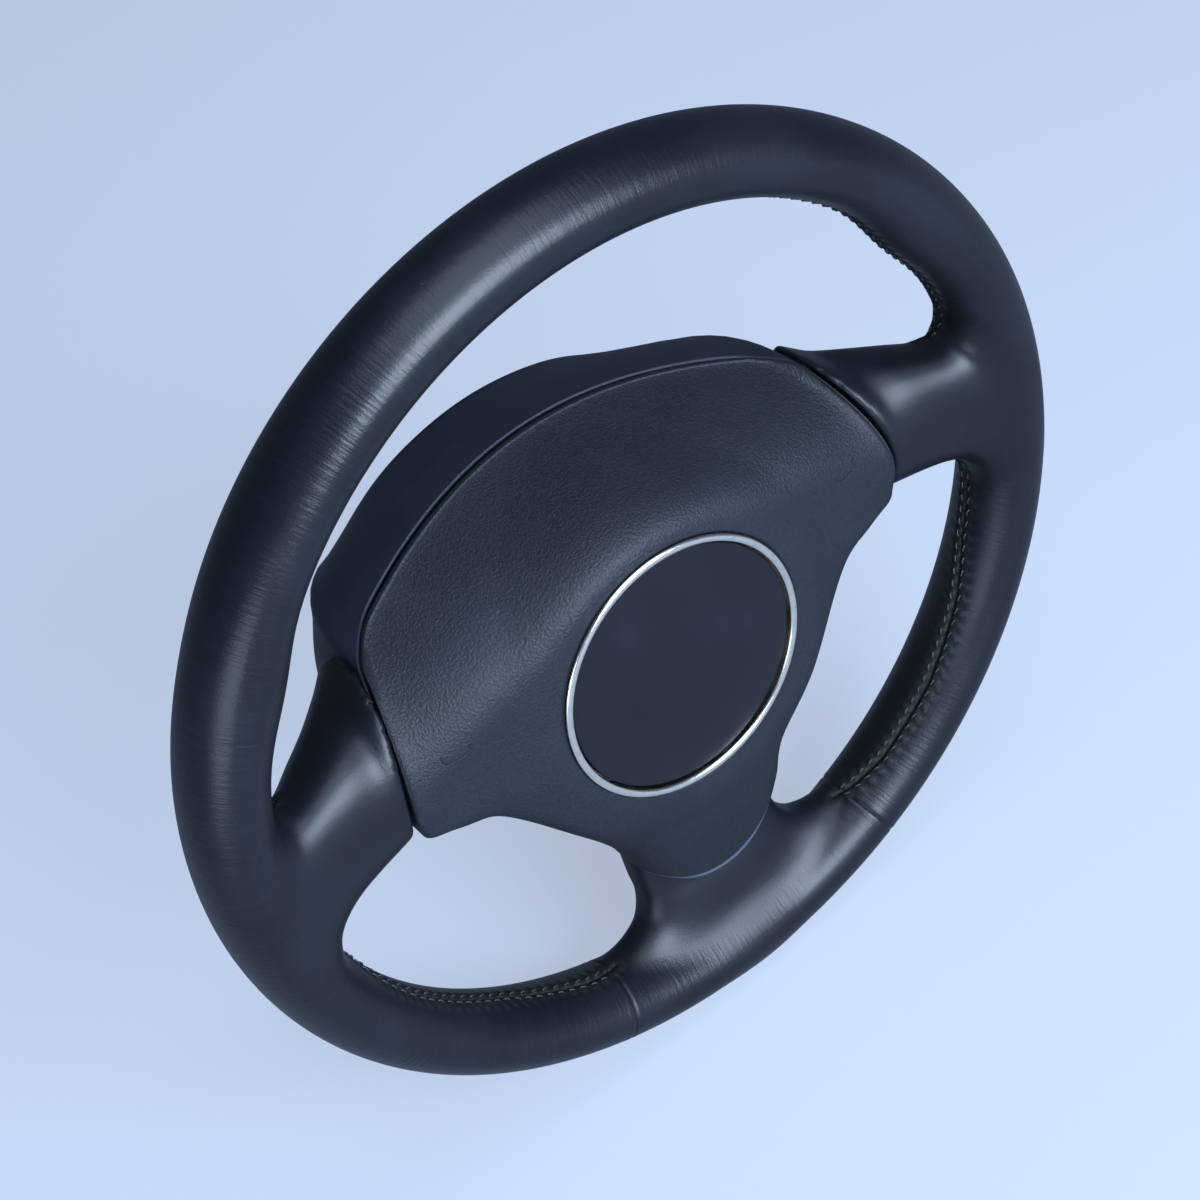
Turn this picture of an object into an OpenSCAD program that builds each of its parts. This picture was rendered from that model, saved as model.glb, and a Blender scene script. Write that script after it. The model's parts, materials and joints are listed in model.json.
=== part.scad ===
// Three-spoke leather steering wheel with its airbag module, millimetres.
// Drawn with the wheel plane flat (x right, y to twelve o'clock, z to the driver)
// and turned upright at the end, with the origin in the middle of the plain lead-in
// of the column bore.

/* [Rim] */
// Outer diameter of the rim
rim_d = 375; // [366:1:384]
// Width of the grip, across the wheel plane
grip_w = 28.8; // [27:0.2:31]
// Thickness of the grip, front to back
grip_h = 38; // [35:0.5:41]
// Thickness of the leather
leather_t = 1.3; // [1:0.1:1.6]
// Angle of each cross seam from six o'clock
seam_angle = 22.8; // [21:0.2:25]

/* [Front cover] */
// Half width of the cover at nine and three o'clock
cover_half_w = 111.2; // [109:0.2:113]
// Height of the top edge above the wheel's axis
cover_top = 63.8; // [61:0.2:66]
// Depth of the middle of the top edge behind the rim plane
cover_top_depth = 52; // [48:0.5:54]
// Depth of the lip's lowest point below the wheel's axis
cover_low = 131; // [129:0.5:133]
// Wall of the cover
cover_wall = 2.8; // [2.2:0.1:3.2]
// Depth of the cover's skirt beside the spokes
skirt_h = 13; // [10:0.5:15]
// Gap that the cover moves in
cover_gap = 1.6; // [1.5:0.1:2]

/* [Disc and trim ring] */
// Middle diameter of the trim ring
ring_d = 101.2; // [96:0.2:104]
// Width of the trim ring's band
ring_w = 4; // [3:0.1:5]
// Height of the ring's front above the rim plane
ring_z = 14.6; // [13:0.1:16]
// Distance of the ring's middle below the wheel's axis
ring_drop = 13.8; // [12:0.2:16]
// Backward lean of the ring and the disc
ring_lean = 2.6; // [0:0.1:4]
// Bulge of the disc
disc_bulge = 1.8; // [0.8:0.1:2.6]

/* [Hub] */
// Diameter of the column bore
bore_d = 17; // [15:0.1:19]
// Length of the column bore
bore_len = 26; // [22:0.5:30]
// Length of the bore's plain lead-in, at its back end
lead_in = 12; // [9:0.5:14]
// Depth of the hub's back face behind the rim plane
hub_depth = 84; // [80:0.5:87]
// Diameter of the hub boss
hub_boss_d = 40; // [36:0.5:44]
// Number of splines in the bore
splines = 40; // [24:1:48]

/* [Frame] */
// Width of the frame's spokes
frame_spoke_w = 24; // [20:0.5:28]
// Thickness of the frame's spokes
frame_spoke_t = 9; // [8:0.5:11]
// Width of the rim core
core_w = 13; // [11:0.5:16]
// Thickness of the rim core
core_h = 14; // [12:0.5:18]
// Web and flange thickness of the casting
casting_t = 3.6; // [3:0.1:4.5]

/* [Rear cover] */
// Depth of the rear cover's back behind the rim plane
rear_depth = 97; // [95:0.5:100]
// Wall of the rear cover
rear_wall = 2.4; // [2:0.1:3]
// Diameter of the opening for the column
column_hole_d = 68; // [62:1:74]

/* [Airbag module] */
// Travel of the module when the horn is pressed
horn_travel = 1.2; // [0.8:0.1:1.2]
// Depth of the tray's floor behind the rim plane
tray_depth = 36; // [35:0.5:38]
// Sheet thickness of the tray
tray_t = 1.6; // [1.2:0.1:2]
// Height of the tray's wall
tray_h = 28; // [24:0.5:30]
// Diameter of the gas generator
inflator_d = 76; // [70:1:78]
// Length of the gas generator
inflator_h = 34; // [30:0.5:35]
// Shank diameter of the shoulder bolts
guide_d = 6; // [5:0.1:7]
// Distance of the two upper shoulder bolts from the middle
guide_x = 58; // [55:0.5:60]
// Distance of the lower shoulder bolt below the tray's wall
bolt_drop = 12; // [11:0.5:13]
// Wire diameter of the horn springs
spring_wire = 1.4; // [1:0.1:1.6]

/* [Hidden] */

$fn = 72;
rim_r = rim_d / 2;
core_r = rim_r - grip_w / 2;
foam_fit = 0.25;
frame_fit = 0.1;
leather_end = cover_half_w + cover_gap;
bore_z = -hub_depth + lead_in / 2;
tray_z = -tray_depth;
flange_top = tray_z + tray_h;

// Plan of the tray, from the clamp ring that it holds
inflator_y = -14.5;
clamp_r = inflator_d / 2 + 4.2;
clamp_edge = 3.2;
clamp_room = 0.5;
tray_half_h = clamp_r + clamp_edge + clamp_room + tray_t;
tray_half_w = 68;
tray_up = inflator_y + tray_half_h;
tray_low = 34;
tray_foot = tray_half_h - inflator_y;
tray_neck_w = tray_half_h - 1.5;
tray_corner = 20;
tray_flange_w = 8.5;
rivet_from_wall = 4.5;
rivet_x = tray_half_w + rivet_from_wall + 0.5;
rivet_neck_x = tray_neck_w + rivet_from_wall;
rivet_up = tray_up + rivet_from_wall - 0.5;
rivet_spots = [[rivet_x, 18], [-rivet_x, 18], [rivet_x, -14], [-rivet_x, -14],
               [34, rivet_up], [-34, rivet_up], [rivet_neck_x, -44], [-rivet_neck_x, -44]];
guide_y = 8;
guide_low = tray_foot + bolt_drop;
guides = [[guide_x, guide_y], [-guide_x, guide_y], [0, -guide_low]];

function lerp(a, b, t) = a + (b - a) * t;
function clamp01(t) = min(1, max(0, t));
function ease(t) = let (s = clamp01(t)) s * s * (3 - 2 * s);
function unit(v) = v / norm(v);
function sgn_pow(v, e) = sign(v) * pow(abs(v), e);

// A smooth curve through a few points, in even steps
function curve_at(a, b, c, d, t) =
    0.5 * (2 * b + (c - a) * t + (2 * a - 5 * b + 4 * c - d) * t * t
    + (3 * b - a - 3 * c + d) * t * t * t);
function curve(p, steps) = [
    for (i = [0:len(p) - 2], k = [0:steps - 1])
        curve_at(p[max(0, i - 1)], p[i], p[i + 1], p[min(len(p) - 1, i + 2)], k / steps)];

// Closed skin over rows of points: every row is a closed loop of equal length, and an
// end row is capped with strips across it, so that the cap follows a curved row
function row_faces(rows, cols, closed) = [
    for (i = [0:rows - (closed ? 1 : 2)], k = [0:cols - 1])
        let (a = i * cols + k, b = i * cols + (k + 1) % cols,
             c = ((i + 1) % rows) * cols + (k + 1) % cols,
             d = ((i + 1) % rows) * cols + k)
        each k < cols / 2 ? [[a, b, c], [a, c, d]] : [[a, b, d], [b, c, d]]];
module skin(rows, closed) {
    cols = len(rows[0]);
    last = (len(rows) - 1) * cols;
    strips = [for (k = [0:cols / 2 - 2])
        each [[k, k + 1, cols - 2 - k], [k, cols - 2 - k, cols - 1 - k]]];
    ends = closed ? [] : [for (f = strips) each [[f[2], f[1], f[0]],
                                                 [f[0] + last, f[1] + last, f[2] + last]]];
    polyhedron([for (row = rows) each row], concat(row_faces(len(rows), cols, closed), ends));
}

// Places what was drawn with the wheel flat upright, origin in the column bore
module upright() rotate([90, 0, 0]) translate([0, 0, -bore_z]) children();

// Leather and foam

spoke_points = 20;
bend_power = 1.7;
bend_from = 0.55;
spoke_roundness = 0.78;
// Side spoke, from its end at the cover to the middle of the rim:
// radius from the end, lower and upper angle, front, back, backward bend of the upper side
side_stations = [
    [0.0, -10.4, 23.2, 9.0, -42, 12],
    [4.0, -10.2, 19.4, 9.0, -40, 9],
    [8.0, -10.0, 16.8, 9.2, -38, 7],
    [17.0, -9.7, 14.8, 9.8, -32, 3.5],
    [27.0, -9.6, 13.2, 11.0, -27, 1],
    [35.0, -10.0, 12.7, 12.7, -22.5, 0],
    [41.0, -11.3, 13.2, 14.4, -20, 0],
    [45.0, -13.2, 14.8, 15.4, -19, 0],
    [49.0, -16.0, 17.6, 16.4, -18, 0],
    [54.0, -18.0, 20.6, 17.0, -17.5, 0],
    [60.0, -18.0, 21.0, 17.4, -17.4, 0]];
// Bottom spoke, from under the lip to the middle of the rim, with its half angle
low_stations = [
    [0.0, 16.4, -3.0, -40],
    [8.0, 16.0, -2.0, -37],
    [15.0, 15.4, -1.0, -34],
    [24.5, 14.7, 0.3, -29],
    [30.0, 14.2, 5.0, -26.5],
    [36.0, 14.6, 8.8, -24],
    [41.0, 16.0, 12.2, -21],
    [46.0, 18.6, 14.8, -19],
    [51.0, 21.4, 16.4, -18],
    [60.0, 22.4, 17.4, -17.4]];
low_end = 104;

// Radius at which the leather ends beside the cover, in the direction a
function side_end(a) = let (y = cover_half_w * sin(a)) norm([side_x(y), y]) + cover_gap;
// How far a section is pushed outward when it is inset, where the spoke flares into the rim
function flare_push(s) = ease((s - 30) / 10) * (1 - ease((s - 52) / 8));

// The back of a side spoke's end leans in under the cover from this depth on, by this slope
tuck_start = 26;
end_tuck = 0.1;

// One section of a spoke, inset all round by d; the radius is start plus s sixtieths
// of the way to the middle of the rim, and the side spokes start along the cover's edge
function spoke_loop(s, start, a0, a1, front, back, bend, d) =
    let (r = start + s / 60 * (core_r - start), u0 = r * a0 * PI / 180 + d, u1 = r * a1 * PI / 180 - d,
         um = (u0 + u1) / 2, uh = (u1 - u0) / 2,
         zm = (front + back) / 2, zh = (front - back) / 2 - d)
    [for (k = [0:spoke_points - 1])
        let (t = 360 * (k + 0.5) / spoke_points,
             u = um + uh * sgn_pow(cos(t), spoke_roundness),
             lean = bend * pow(clamp01((u - um * bend_from) / (u1 + d - um * bend_from)), bend_power),
             z = zm + zh * sgn_pow(sin(t), spoke_roundness) - lean,
             a = u / r * 180 / PI,
             r0 = start == low_end ? low_end : side_end(a),
             tuck = start == low_end ? 0 : end_tuck * max(0, -z - tuck_start) * max(0, 1 - s / 16),
             q = r0 + s / 60 * (core_r - r0) - tuck + d * (s == 0 ? 1 : flare_push(s)))
        [q * cos(a), q * sin(a), z]];
module side_spoke(d)
    skin([for (i = [len(side_stations) - 1:-1:0]) let (s = side_stations[i])
        spoke_loop(s[0], leather_end, s[1], s[2], s[3], s[4], s[5], d)], false);
module low_spoke(d) rotate([0, 0, -90])
    skin([for (i = [len(low_stations) - 1:-1:0]) let (s = low_stations[i])
        spoke_loop(s[0], low_end, -s[1], s[1], s[2], s[3], 0, d)], false);
module grip(d) {
    steps = 36;
    rotate_extrude($fn = 144) translate([core_r, 0])
        polygon([for (k = [0:steps - 1])
            let (t = 360 * (k + 0.5) / steps)
            [(grip_w / 2 - d) * cos(t), (grip_h / 2 - d) * sin(t)]]);
}
module rim_body(d) {
    grip(d);
    side_spoke(d);
    mirror([1, 0, 0]) side_spoke(d);
    low_spoke(d);
}
// The sector between the two cross seams, or all that lies outside it
module seam_sector(half_gap, outside) {
    a = seam_angle + half_gap / core_r * 180 / PI;
    x = rim_d * tan(a);
    translate([0, 0, -rim_r]) linear_extrude(rim_d) polygon(outside
        ? [[0, 0], [-x, -rim_d], [-rim_d, -rim_d], [-rim_d, rim_d], [rim_d, rim_d],
           [rim_d, -rim_d], [x, -rim_d]]
        : [[0, 0], [-x, -rim_d], [x, -rim_d]]);
}
module leather_shell() difference() {
    rim_body(0);
    rim_body(leather_t);
    frame_spokes(frame_fit + 0.5);
}
seam_gap = 0.3;
module rim_leather_upper() color([0.12, 0.13, 0.15]) upright()
    difference() {
        leather_shell();
        seam_sector(seam_gap / 2, false);
    }
module rim_leather_lower() color([0.12, 0.13, 0.15]) upright()
    difference() {
        leather_shell();
        seam_sector(-seam_gap / 2, true);
    }
module rim_foam() color([0.2, 0.2, 0.21]) upright()
    difference() {
        rim_body(leather_t + foam_fit);
        frame_ring(frame_fit);
        frame_spokes(frame_fit);
    }

// Die-cast frame

frame_drop = frame_spoke_t / 2;
hub_plate_r = 36;
hub_plate_front = -62;
hub_plate_back = -72;
hub_front = -hub_depth + bore_len;
insert_r = 13;
tooth_h = 0.6;
tooth_gap = 0.6;
tooth_tip_r = bore_d / 2 - tooth_h - 0.1;
guide_boss_r = 7.5;
guide_boss_z = -46;
guide_boss_foot = -64;
bolt_foot = -59.5;
post_r = 5;
posts = [[44, guide_y], [-44, guide_y], [0, -52]];
post_back = -rear_depth + rear_wall + 0.1;

// Middle line of a frame spoke: distance from the axis, height
spoke_knee = core_r - 65;
spoke_shoulder = core_r - 23;
spoke_line = [[22, -66.5], [62, -60], [spoke_knee, -30], [spoke_shoulder, -8], [core_r, -3]];
module spoke_side_view(t) polygon(concat(
    [for (p = spoke_line) p + [0, t / 2]],
    [for (i = [len(spoke_line) - 1:-1:0]) spoke_line[i] - [0, t / 2]]));
module frame_spoke(grow) rotate([90, 0, 0])
    linear_extrude(frame_spoke_w + 2 * grow, center = true)
        spoke_side_view(frame_spoke_t + 2 * grow);
module frame_spokes(grow) {
    translate([0, guide_y, 0]) frame_spoke(grow);
    translate([0, guide_y, 0]) mirror([1, 0, 0]) frame_spoke(grow);
    rotate([0, 0, -90]) frame_spoke(grow);
}
// Channel in the back of a spoke, between its two flanges
module spoke_channel() rotate([90, 0, 0])
    linear_extrude(frame_spoke_w - 2 * casting_t, center = true)
        polygon([[66, -60 - frame_drop - 8], [66, -58 - casting_t - 1.5],
                 [spoke_knee, -30 + frame_drop - casting_t - 1],
                 [spoke_shoulder, -8 + frame_drop - casting_t - 1],
                 [core_r - core_w / 2 - 4, -10], [core_r - core_w / 2 - 4, -16 - frame_drop],
                 [spoke_knee, -46 - frame_drop]]);
module spoke_channels() {
    translate([0, guide_y, 0]) spoke_channel();
    translate([0, guide_y, 0]) mirror([1, 0, 0]) spoke_channel();
    rotate([0, 0, -90]) spoke_channel();
}
module frame_ring(grow) rotate_extrude($fn = 144)
    translate([core_r - core_w / 2 - grow, -core_h / 2 - grow])
        square([core_w + 2 * grow, core_h + 2 * grow]);
module frame_ring_groove() rotate_extrude($fn = 144)
    translate([core_r - core_w / 2 + casting_t, -core_h / 2 - 1])
        square([core_w - 2 * casting_t, core_h - casting_t + 1]);
module armature() color([0.62, 0.63, 0.64]) upright()
    difference() {
        union() {
            difference() {
                union() {
                    frame_ring(0);
                    frame_spokes(0);
                }
                frame_ring_groove();
                spoke_channels();
            }
            translate([0, 0, hub_plate_back])
                cylinder(h = hub_plate_front - hub_plate_back, r = hub_plate_r);
            translate([0, 0, -hub_depth]) cylinder(h = bore_len, d = hub_boss_d);
            for (g = guides)
                guide_boss(g, g[0] == 0 ? contact_top : guide_boss_z);
            for (p = posts)
                translate([p[0], p[1], post_back]) cylinder(h = -64 - post_back, r = post_r);
        }
        translate([0, 0, -hub_depth - 1]) cylinder(h = bore_len + 2, r = insert_r + 0.05);
        for (g = guides) {
            translate([g[0], g[1], bolt_foot - 0.5]) cylinder(h = 20, d = guide_d + 0.1);
            translate([g[0], g[1], contact_top]) cylinder(h = 20, r = guide_boss_r);
        }
        for (p = posts)
            translate([p[0], p[1], post_back - 1]) cylinder(h = 12, r = screw_r + 0.1);
        hub_pockets();
    }
module guide_boss(g, top) translate([g[0], g[1], guide_boss_foot])
    cylinder(h = top - guide_boss_foot, r = guide_boss_r);
// Weight-saving pockets round the hub plate
module hub_pockets() for (a = [52, 90, 128, 222, 318])
    rotate([0, 0, a]) translate([28, 0, hub_plate_back - 1]) cylinder(h = 6, r = 4.5, $fn = 32);

module hub_insert() color([0.55, 0.56, 0.58]) upright()
    difference() {
        translate([0, 0, -hub_depth]) cylinder(h = bore_len, r = insert_r);
        translate([0, 0, -hub_depth - 1]) cylinder(h = lead_in + 1, d = bore_d);
        translate([0, 0, -hub_depth]) cylinder(h = bore_len + 1, r = tooth_tip_r);
        translate([0, 0, -hub_depth + lead_in]) spline_cut();
    }
module spline_cut() for (i = [0:splines - 1])
    rotate([0, 0, i * 360 / splines]) translate([tooth_tip_r - 0.4, -tooth_gap / 2, -1])
        cube([tooth_h + 0.4, tooth_gap, bore_len - lead_in + 2]);

// Front cover

ring_r = ring_d / 2;
pocket_r = ring_r + ring_w / 2 + 0.2;
aperture_r = pocket_r + 0.5;
cup_r = pocket_r + 3.4;
cup_floor_t = 2.2;
pocket_depth = 4;

function side_x(y) = cover_half_w - 0.048 * y - 0.00524 * y * y;
function side_z(y) = 9.3 + 0.14 * y - 0.01824 * y * y;
function top_y(x) = let (u = x * x / 10000) cover_top - 23.9 * u + 1.7 * u * u;
function top_z(x) = -cover_top_depth + 22.3 * x * x / 10000;
function lip_y(x) = -cover_low + 176 * x * x / 10000;

// Right half of the outline from the top to the bottom: x, y, edge height, skirt height
top_lip = 2.6;
top_part = [for (x = [0:14:84]) [x, top_y(x), top_z(x) + top_lip / 2, top_lip]];
side_part = [for (y = [43, 36, 27, 18, 9, 0, -8])
    [side_x(y), y, side_z(y), lerp(skirt_h, top_lip, ease((y - 6) / 36))]];
arch_foot = -skirt_h - 0.4;
arch_knots = [[side_x(-14), -14, 4], [106, -18.8, 2], [84, -31, -4],
              [60, -60, -6], [44.5, -86, -7], [37.5, -103, -8]];
arch_part = [for (p = curve(arch_knots, 3)) [p[0], p[1], p[2], p[2] - arch_foot]];
lip_part = [for (x = [34, 29, 21, 11, 0])
    [x, lip_y(x), 5.2 - 8 * pow(x / 34, 4), 3.0]];
half_outline = concat(top_part, side_part, arch_part, lip_part);
outline = concat(half_outline, [for (k = [len(half_outline) - 2:-1:1])
    let (p = half_outline[k]) [-p[0], p[1], p[2], p[3]]]);

// Height of the cover's face at a point of the wheel plane
function face_z(x, y) =
    let (ax = min(abs(x), cover_half_w),
         plane = ring_z - tan(ring_lean) * (y + ring_drop),
         dome = 6.5 * pow(ax / cover_half_w, 1.3),
         low = 16 * pow(max(0, -60 - y) / 71, 1.3))
    plane - dome - low;
function fold_y(x) = 40 - 23 * x * x / 12100;
function cover_z(x, y) =
    let (yr = fold_y(x), yt = top_y(x), t = clamp01((y - yr) / (yt - yr)))
    lerp(face_z(x, min(y, yr)), top_z(x), pow(t, 1.6));

face_rows = 9;
function face_point(p, i) =
    let (s = i / (face_rows - 1),
         dir = unit([p[0], p[1] + ring_drop]),
         inner = [aperture_r * dir[0], aperture_r * dir[1] - ring_drop],
         f = 1 - pow(1 - s, 1.35),
         x = lerp(inner[0], p[0], f), y = lerp(inner[1], p[1], f),
         drop = 1 - sqrt(1 - pow(s, lerp(5, 2, ease((-p[1] - 50) / 50)))))
    [x, y, lerp(cover_z(x, y), p[2], drop)];
function inward(p, d) = let (v = unit([p[0], p[1] + ring_drop])) [v[0] * d, v[1] * d, 0];
function inner_point(p, i) =
    let (s = i / (face_rows - 1), q = face_point(p, i),
         slope = max(0, (face_point(p, max(0, i - 1))[2] - q[2])
             / max(1, norm([q[0], q[1]] - [for (c = [0, 1]) face_point(p, max(0, i - 1))[c]]))),
         k = sqrt(1 + slope * slope))
    i == face_rows - 1
        ? [q[0], q[1], q[2]] - inward(p, cover_wall) - [0, 0, min(p[3] - 0.8, cover_wall)]
        : q - inward(p, cover_wall * slope / k) - [0, 0, cover_wall / k];
module cover_shell() {
    outer = [for (i = [0:face_rows - 1]) [for (p = outline) face_point(p, i)]];
    edge = [for (p = outline) [p[0], p[1], p[2] - 0.5 * min(p[3], 3)]];
    foot_out = [for (p = outline) [p[0], p[1], p[2] - p[3]]];
    foot_in = [for (p = outline) [p[0], p[1], p[2] - p[3]] - inward(p, cover_wall * 0.9)];
    inner = [for (i = [0:face_rows - 1]) [for (p = outline) inner_point(p, i)]];
    skin(concat(inner, [foot_in, foot_out, edge], [for (i = [face_rows - 1:-1:0]) outer[i]]), true);
}
module ring_frame() translate([0, -ring_drop, ring_z]) rotate([-ring_lean, 0, 0]) children();
module disc_cup() ring_frame() difference() {
    translate([0, 0, -pocket_depth - cup_floor_t])
        cylinder(h = pocket_depth + cup_floor_t - 1.2, r = cup_r);
    translate([0, 0, -pocket_depth]) cylinder(h = 20, r = pocket_r);
    for (a = stud_angles) rotate([0, 0, a])
        translate([stud_ring_r, 0, -20]) cylinder(h = 30, r = stud_r + 0.3, $fn = 32);
}
rivet_r = 1.6;
rivet_post_r = 3.4;
module airbag_cover() color([0.17, 0.19, 0.21]) upright()
    difference() {
        union() {
            cover_shell();
            disc_cup();
            for (s = rivet_spots)
                translate([s[0], s[1], flange_top])
                    cylinder(h = cover_z(s[0], s[1]) - 1.4 - flange_top, r = rivet_post_r);
        }
        for (s = rivet_spots)
            translate([s[0], s[1], flange_top - 1]) cylinder(h = 9, r = rivet_r + 0.1);
    }

// Disc, its studs and push nuts, and the trim ring

disc_r = ring_r - ring_w / 2 - 0.3;
stud_r = 1.5;
stud_ring_r = 34;
stud_angles = [90, 210, 330];
nut_z = -pocket_depth - cup_floor_t - 1;
disc_edge = 0.6;
module centre_disc() color([0.13, 0.15, 0.18]) upright() ring_frame()
    union() {
        rotate_extrude($fn = 144) polygon(concat(
            [[0, -pocket_depth + 0.1], [disc_r, -pocket_depth + 0.1], [disc_r, -disc_edge - 0.5]],
            [for (i = [0:10]) let (s = 1 - i / 10)
                [(disc_r - 0.5) * s, -disc_edge + disc_bulge * (1 - s * s)]]));
        for (a = stud_angles) rotate([0, 0, a])
            translate([stud_ring_r, 0, nut_z - 1.6])
                cylinder(h = -nut_z - 1, r = stud_r, $fn = 32);
    }
module trim_ring() color([0.8, 0.8, 0.78]) upright() ring_frame()
    rotate_extrude($fn = 144) translate([ring_r, 0]) union() {
        intersection() {
            circle(r = ring_w / 2, $fn = 32);
            translate([-ring_w, -0.6]) square([2 * ring_w, ring_w]);
        }
        translate([-ring_w / 2 + 0.4, -pocket_depth + 0.1])
            square([ring_w - 0.8, pocket_depth - 0.3]);
    }
module disc_push_nuts() color([0.5, 0.5, 0.5]) upright() ring_frame()
    for (a = stud_angles) rotate([0, 0, a]) translate([stud_ring_r, 0, nut_z])
        difference() {
            cylinder(h = 0.9, r = 4.2, $fn = 36);
            translate([0, 0, -1]) cylinder(h = 3, r = stud_r + 0.1, $fn = 36);
        }

// Rear cover

rear_round = 6;
rear_rows = [0, 0.25, 0.55, 0.82];
function rear_front_z(p) = min(arch_foot, p[2] - p[3]) - cover_gap;
function rear_inset(p) = lerp(6, 12, ease(abs(p[0]) / 60)) + 14 * ease((abs(p[0]) - 58) / 32);
rear_low = low_end * cos(low_stations[0][1]) - cover_gap;
function rear_outline_point(p) =
    p[1] < -rear_low ? [p[0] * 0.93, -rear_low, 0, 0] : p;
rear_outline = [for (p = outline) rear_outline_point(p)];
function rear_point(p, w, extra, z) = let (q = inward(p, rear_inset(p) * pow(w, 1.25) + extra))
    [p[0] - q[0], p[1] - q[1], z];
function rear_rings(d) =
    let (bottom = -rear_depth + d)
    concat(
        [for (w = rear_rows) [for (p = rear_outline)
            rear_point(p, w, d, lerp(rear_front_z(p), bottom, w))]],
        [for (a = [30, 60, 90]) [for (p = rear_outline)
            rear_point(p, 1, d + rear_round * (1 - cos(a)),
                       bottom + rear_round * 0.9 * (1 - sin(a)))]],
        [[for (p = rear_outline) let (v = unit([p[0], p[1] + ring_drop]))
            rear_hole_point(v, bottom)]]);
// The hole's point that lies in the direction of an outline point
function rear_hole_point(v, z) = let (a = atan2(v[1], v[0]))
    [column_hole_d / 2 * cos(a), column_hole_d / 2 * sin(a), z];
module rear_shell() {
    outer = rear_rings(0);
    inner = rear_rings(rear_wall);
    skin(concat([for (i = [len(outer) - 1:-1:0]) outer[i]], inner), true);
}
notch_fit = 1;
module spoke_notch() rotate([90, 0, 0])
    linear_extrude(frame_spoke_w + 2 * notch_fit, center = true)
        polygon([[86, -52], [120, -29], [120, 20], [86, 20]]);
screw_r = 2;
screw_head_r = 4.2;
module rear_cover() color([0.15, 0.18, 0.23]) upright()
    difference() {
        rear_shell();
        translate([0, guide_y, 0]) spoke_notch();
        translate([0, guide_y, 0]) mirror([1, 0, 0]) spoke_notch();
        rotate([0, 0, -90]) spoke_notch();
        for (p = posts)
            translate([p[0], p[1], -rear_depth - 1]) cylinder(h = 6, r = screw_r + 0.3);
    }
module rear_cover_screws() color([0.35, 0.35, 0.36]) upright()
    for (p = posts) translate([p[0], p[1], -rear_depth]) difference() {
        union() {
            translate([0, 0, -2.2]) cylinder(h = 2.2, r = screw_head_r);
            cylinder(h = 11, r = screw_r);
        }
        translate([0, 0, -3]) cylinder(h = 2, r = 1.9, $fn = 6);
    }

// Shoulder bolts, bushes, horn springs and contacts

bush_flange_t = 1.1;
bush_top = tray_z + tray_t + bush_flange_t;
bush_foot = tray_z - bush_flange_t;
bush_r = 5;
contact_t = 0.8;
contact_top = guide_boss_z + contact_t;
module guide_bolts() color([0.6, 0.6, 0.58]) upright()
    for (g = guides) translate([g[0], g[1], 0]) difference() {
        union() {
            translate([0, 0, bolt_foot]) cylinder(h = bush_top - bolt_foot, d = guide_d);
            translate([0, 0, bush_top]) cylinder(h = 4, r = 5.8);
        }
        translate([0, 0, bush_top + 1.4]) cylinder(h = 4, r = 2.9, $fn = 6);
    }
module guide_bushes() color([0.85, 0.83, 0.76]) upright()
    for (g = guides) translate([g[0], g[1], 0]) difference() {
        union() {
            translate([0, 0, bush_foot]) cylinder(h = bush_top - bush_foot, r = bush_r);
            translate([0, 0, bush_foot]) cylinder(h = bush_flange_t, r = 7.4);
            translate([0, 0, tray_z + tray_t]) cylinder(h = bush_flange_t, r = 7);
        }
        translate([0, 0, bush_foot - 1])
            cylinder(h = bush_top - bush_foot + 2, r = guide_d / 2 + 0.3);
    }
spring_turns = 3.5;
spring_mean_r = 5;
spring_steps = 14;
spring_sides = 6;
module horn_spring() {
    wire = spring_wire / 2;
    low = contact_top + wire + 0.05;
    high = bush_foot - wire - 0.05;
    count = spring_turns * spring_steps;
    skin([for (i = [0:count])
        let (a = 360 * i / spring_steps, z = lerp(low, high, ease(i / count)))
        [for (k = [0:spring_sides - 1]) let (b = 360 * k / spring_sides)
            [(spring_mean_r + wire * cos(b)) * cos(a), (spring_mean_r + wire * cos(b)) * sin(a),
             z + wire * sin(b)]]], false);
}
module horn_springs() color([0.7, 0.7, 0.7]) upright()
    for (g = guides) translate([g[0], g[1], 0]) horn_spring();
contact_reach = tray_up - 16;
module horn_contact_plates() color([0.78, 0.65, 0.3]) upright()
    for (s = [-1, 1]) translate([s * guide_x, guide_y, guide_boss_z]) difference() {
        union() {
            cylinder(h = contact_t, r = guide_boss_r);
            translate([-4, 0, 0]) cube([8, contact_reach, contact_t]);
            translate([0, contact_reach, 0]) cylinder(h = contact_t, r = 4);
        }
        translate([0, 0, -1]) cylinder(h = 3, d = guide_d + 0.4);
    }
contact_air = 0.1;
module horn_contact_pins() color([0.78, 0.65, 0.3]) upright()
    for (s = [-1, 1]) translate([s * guide_x, guide_y + contact_reach, 0]) union() {
        tip = contact_top + horn_travel + contact_air;
        translate([0, 0, tip]) cylinder(h = tray_z - tip, r = 2.4);
        translate([0, 0, tray_z]) cylinder(h = tray_t + 0.8, r = 1.6);
    }

// Airbag module

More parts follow.
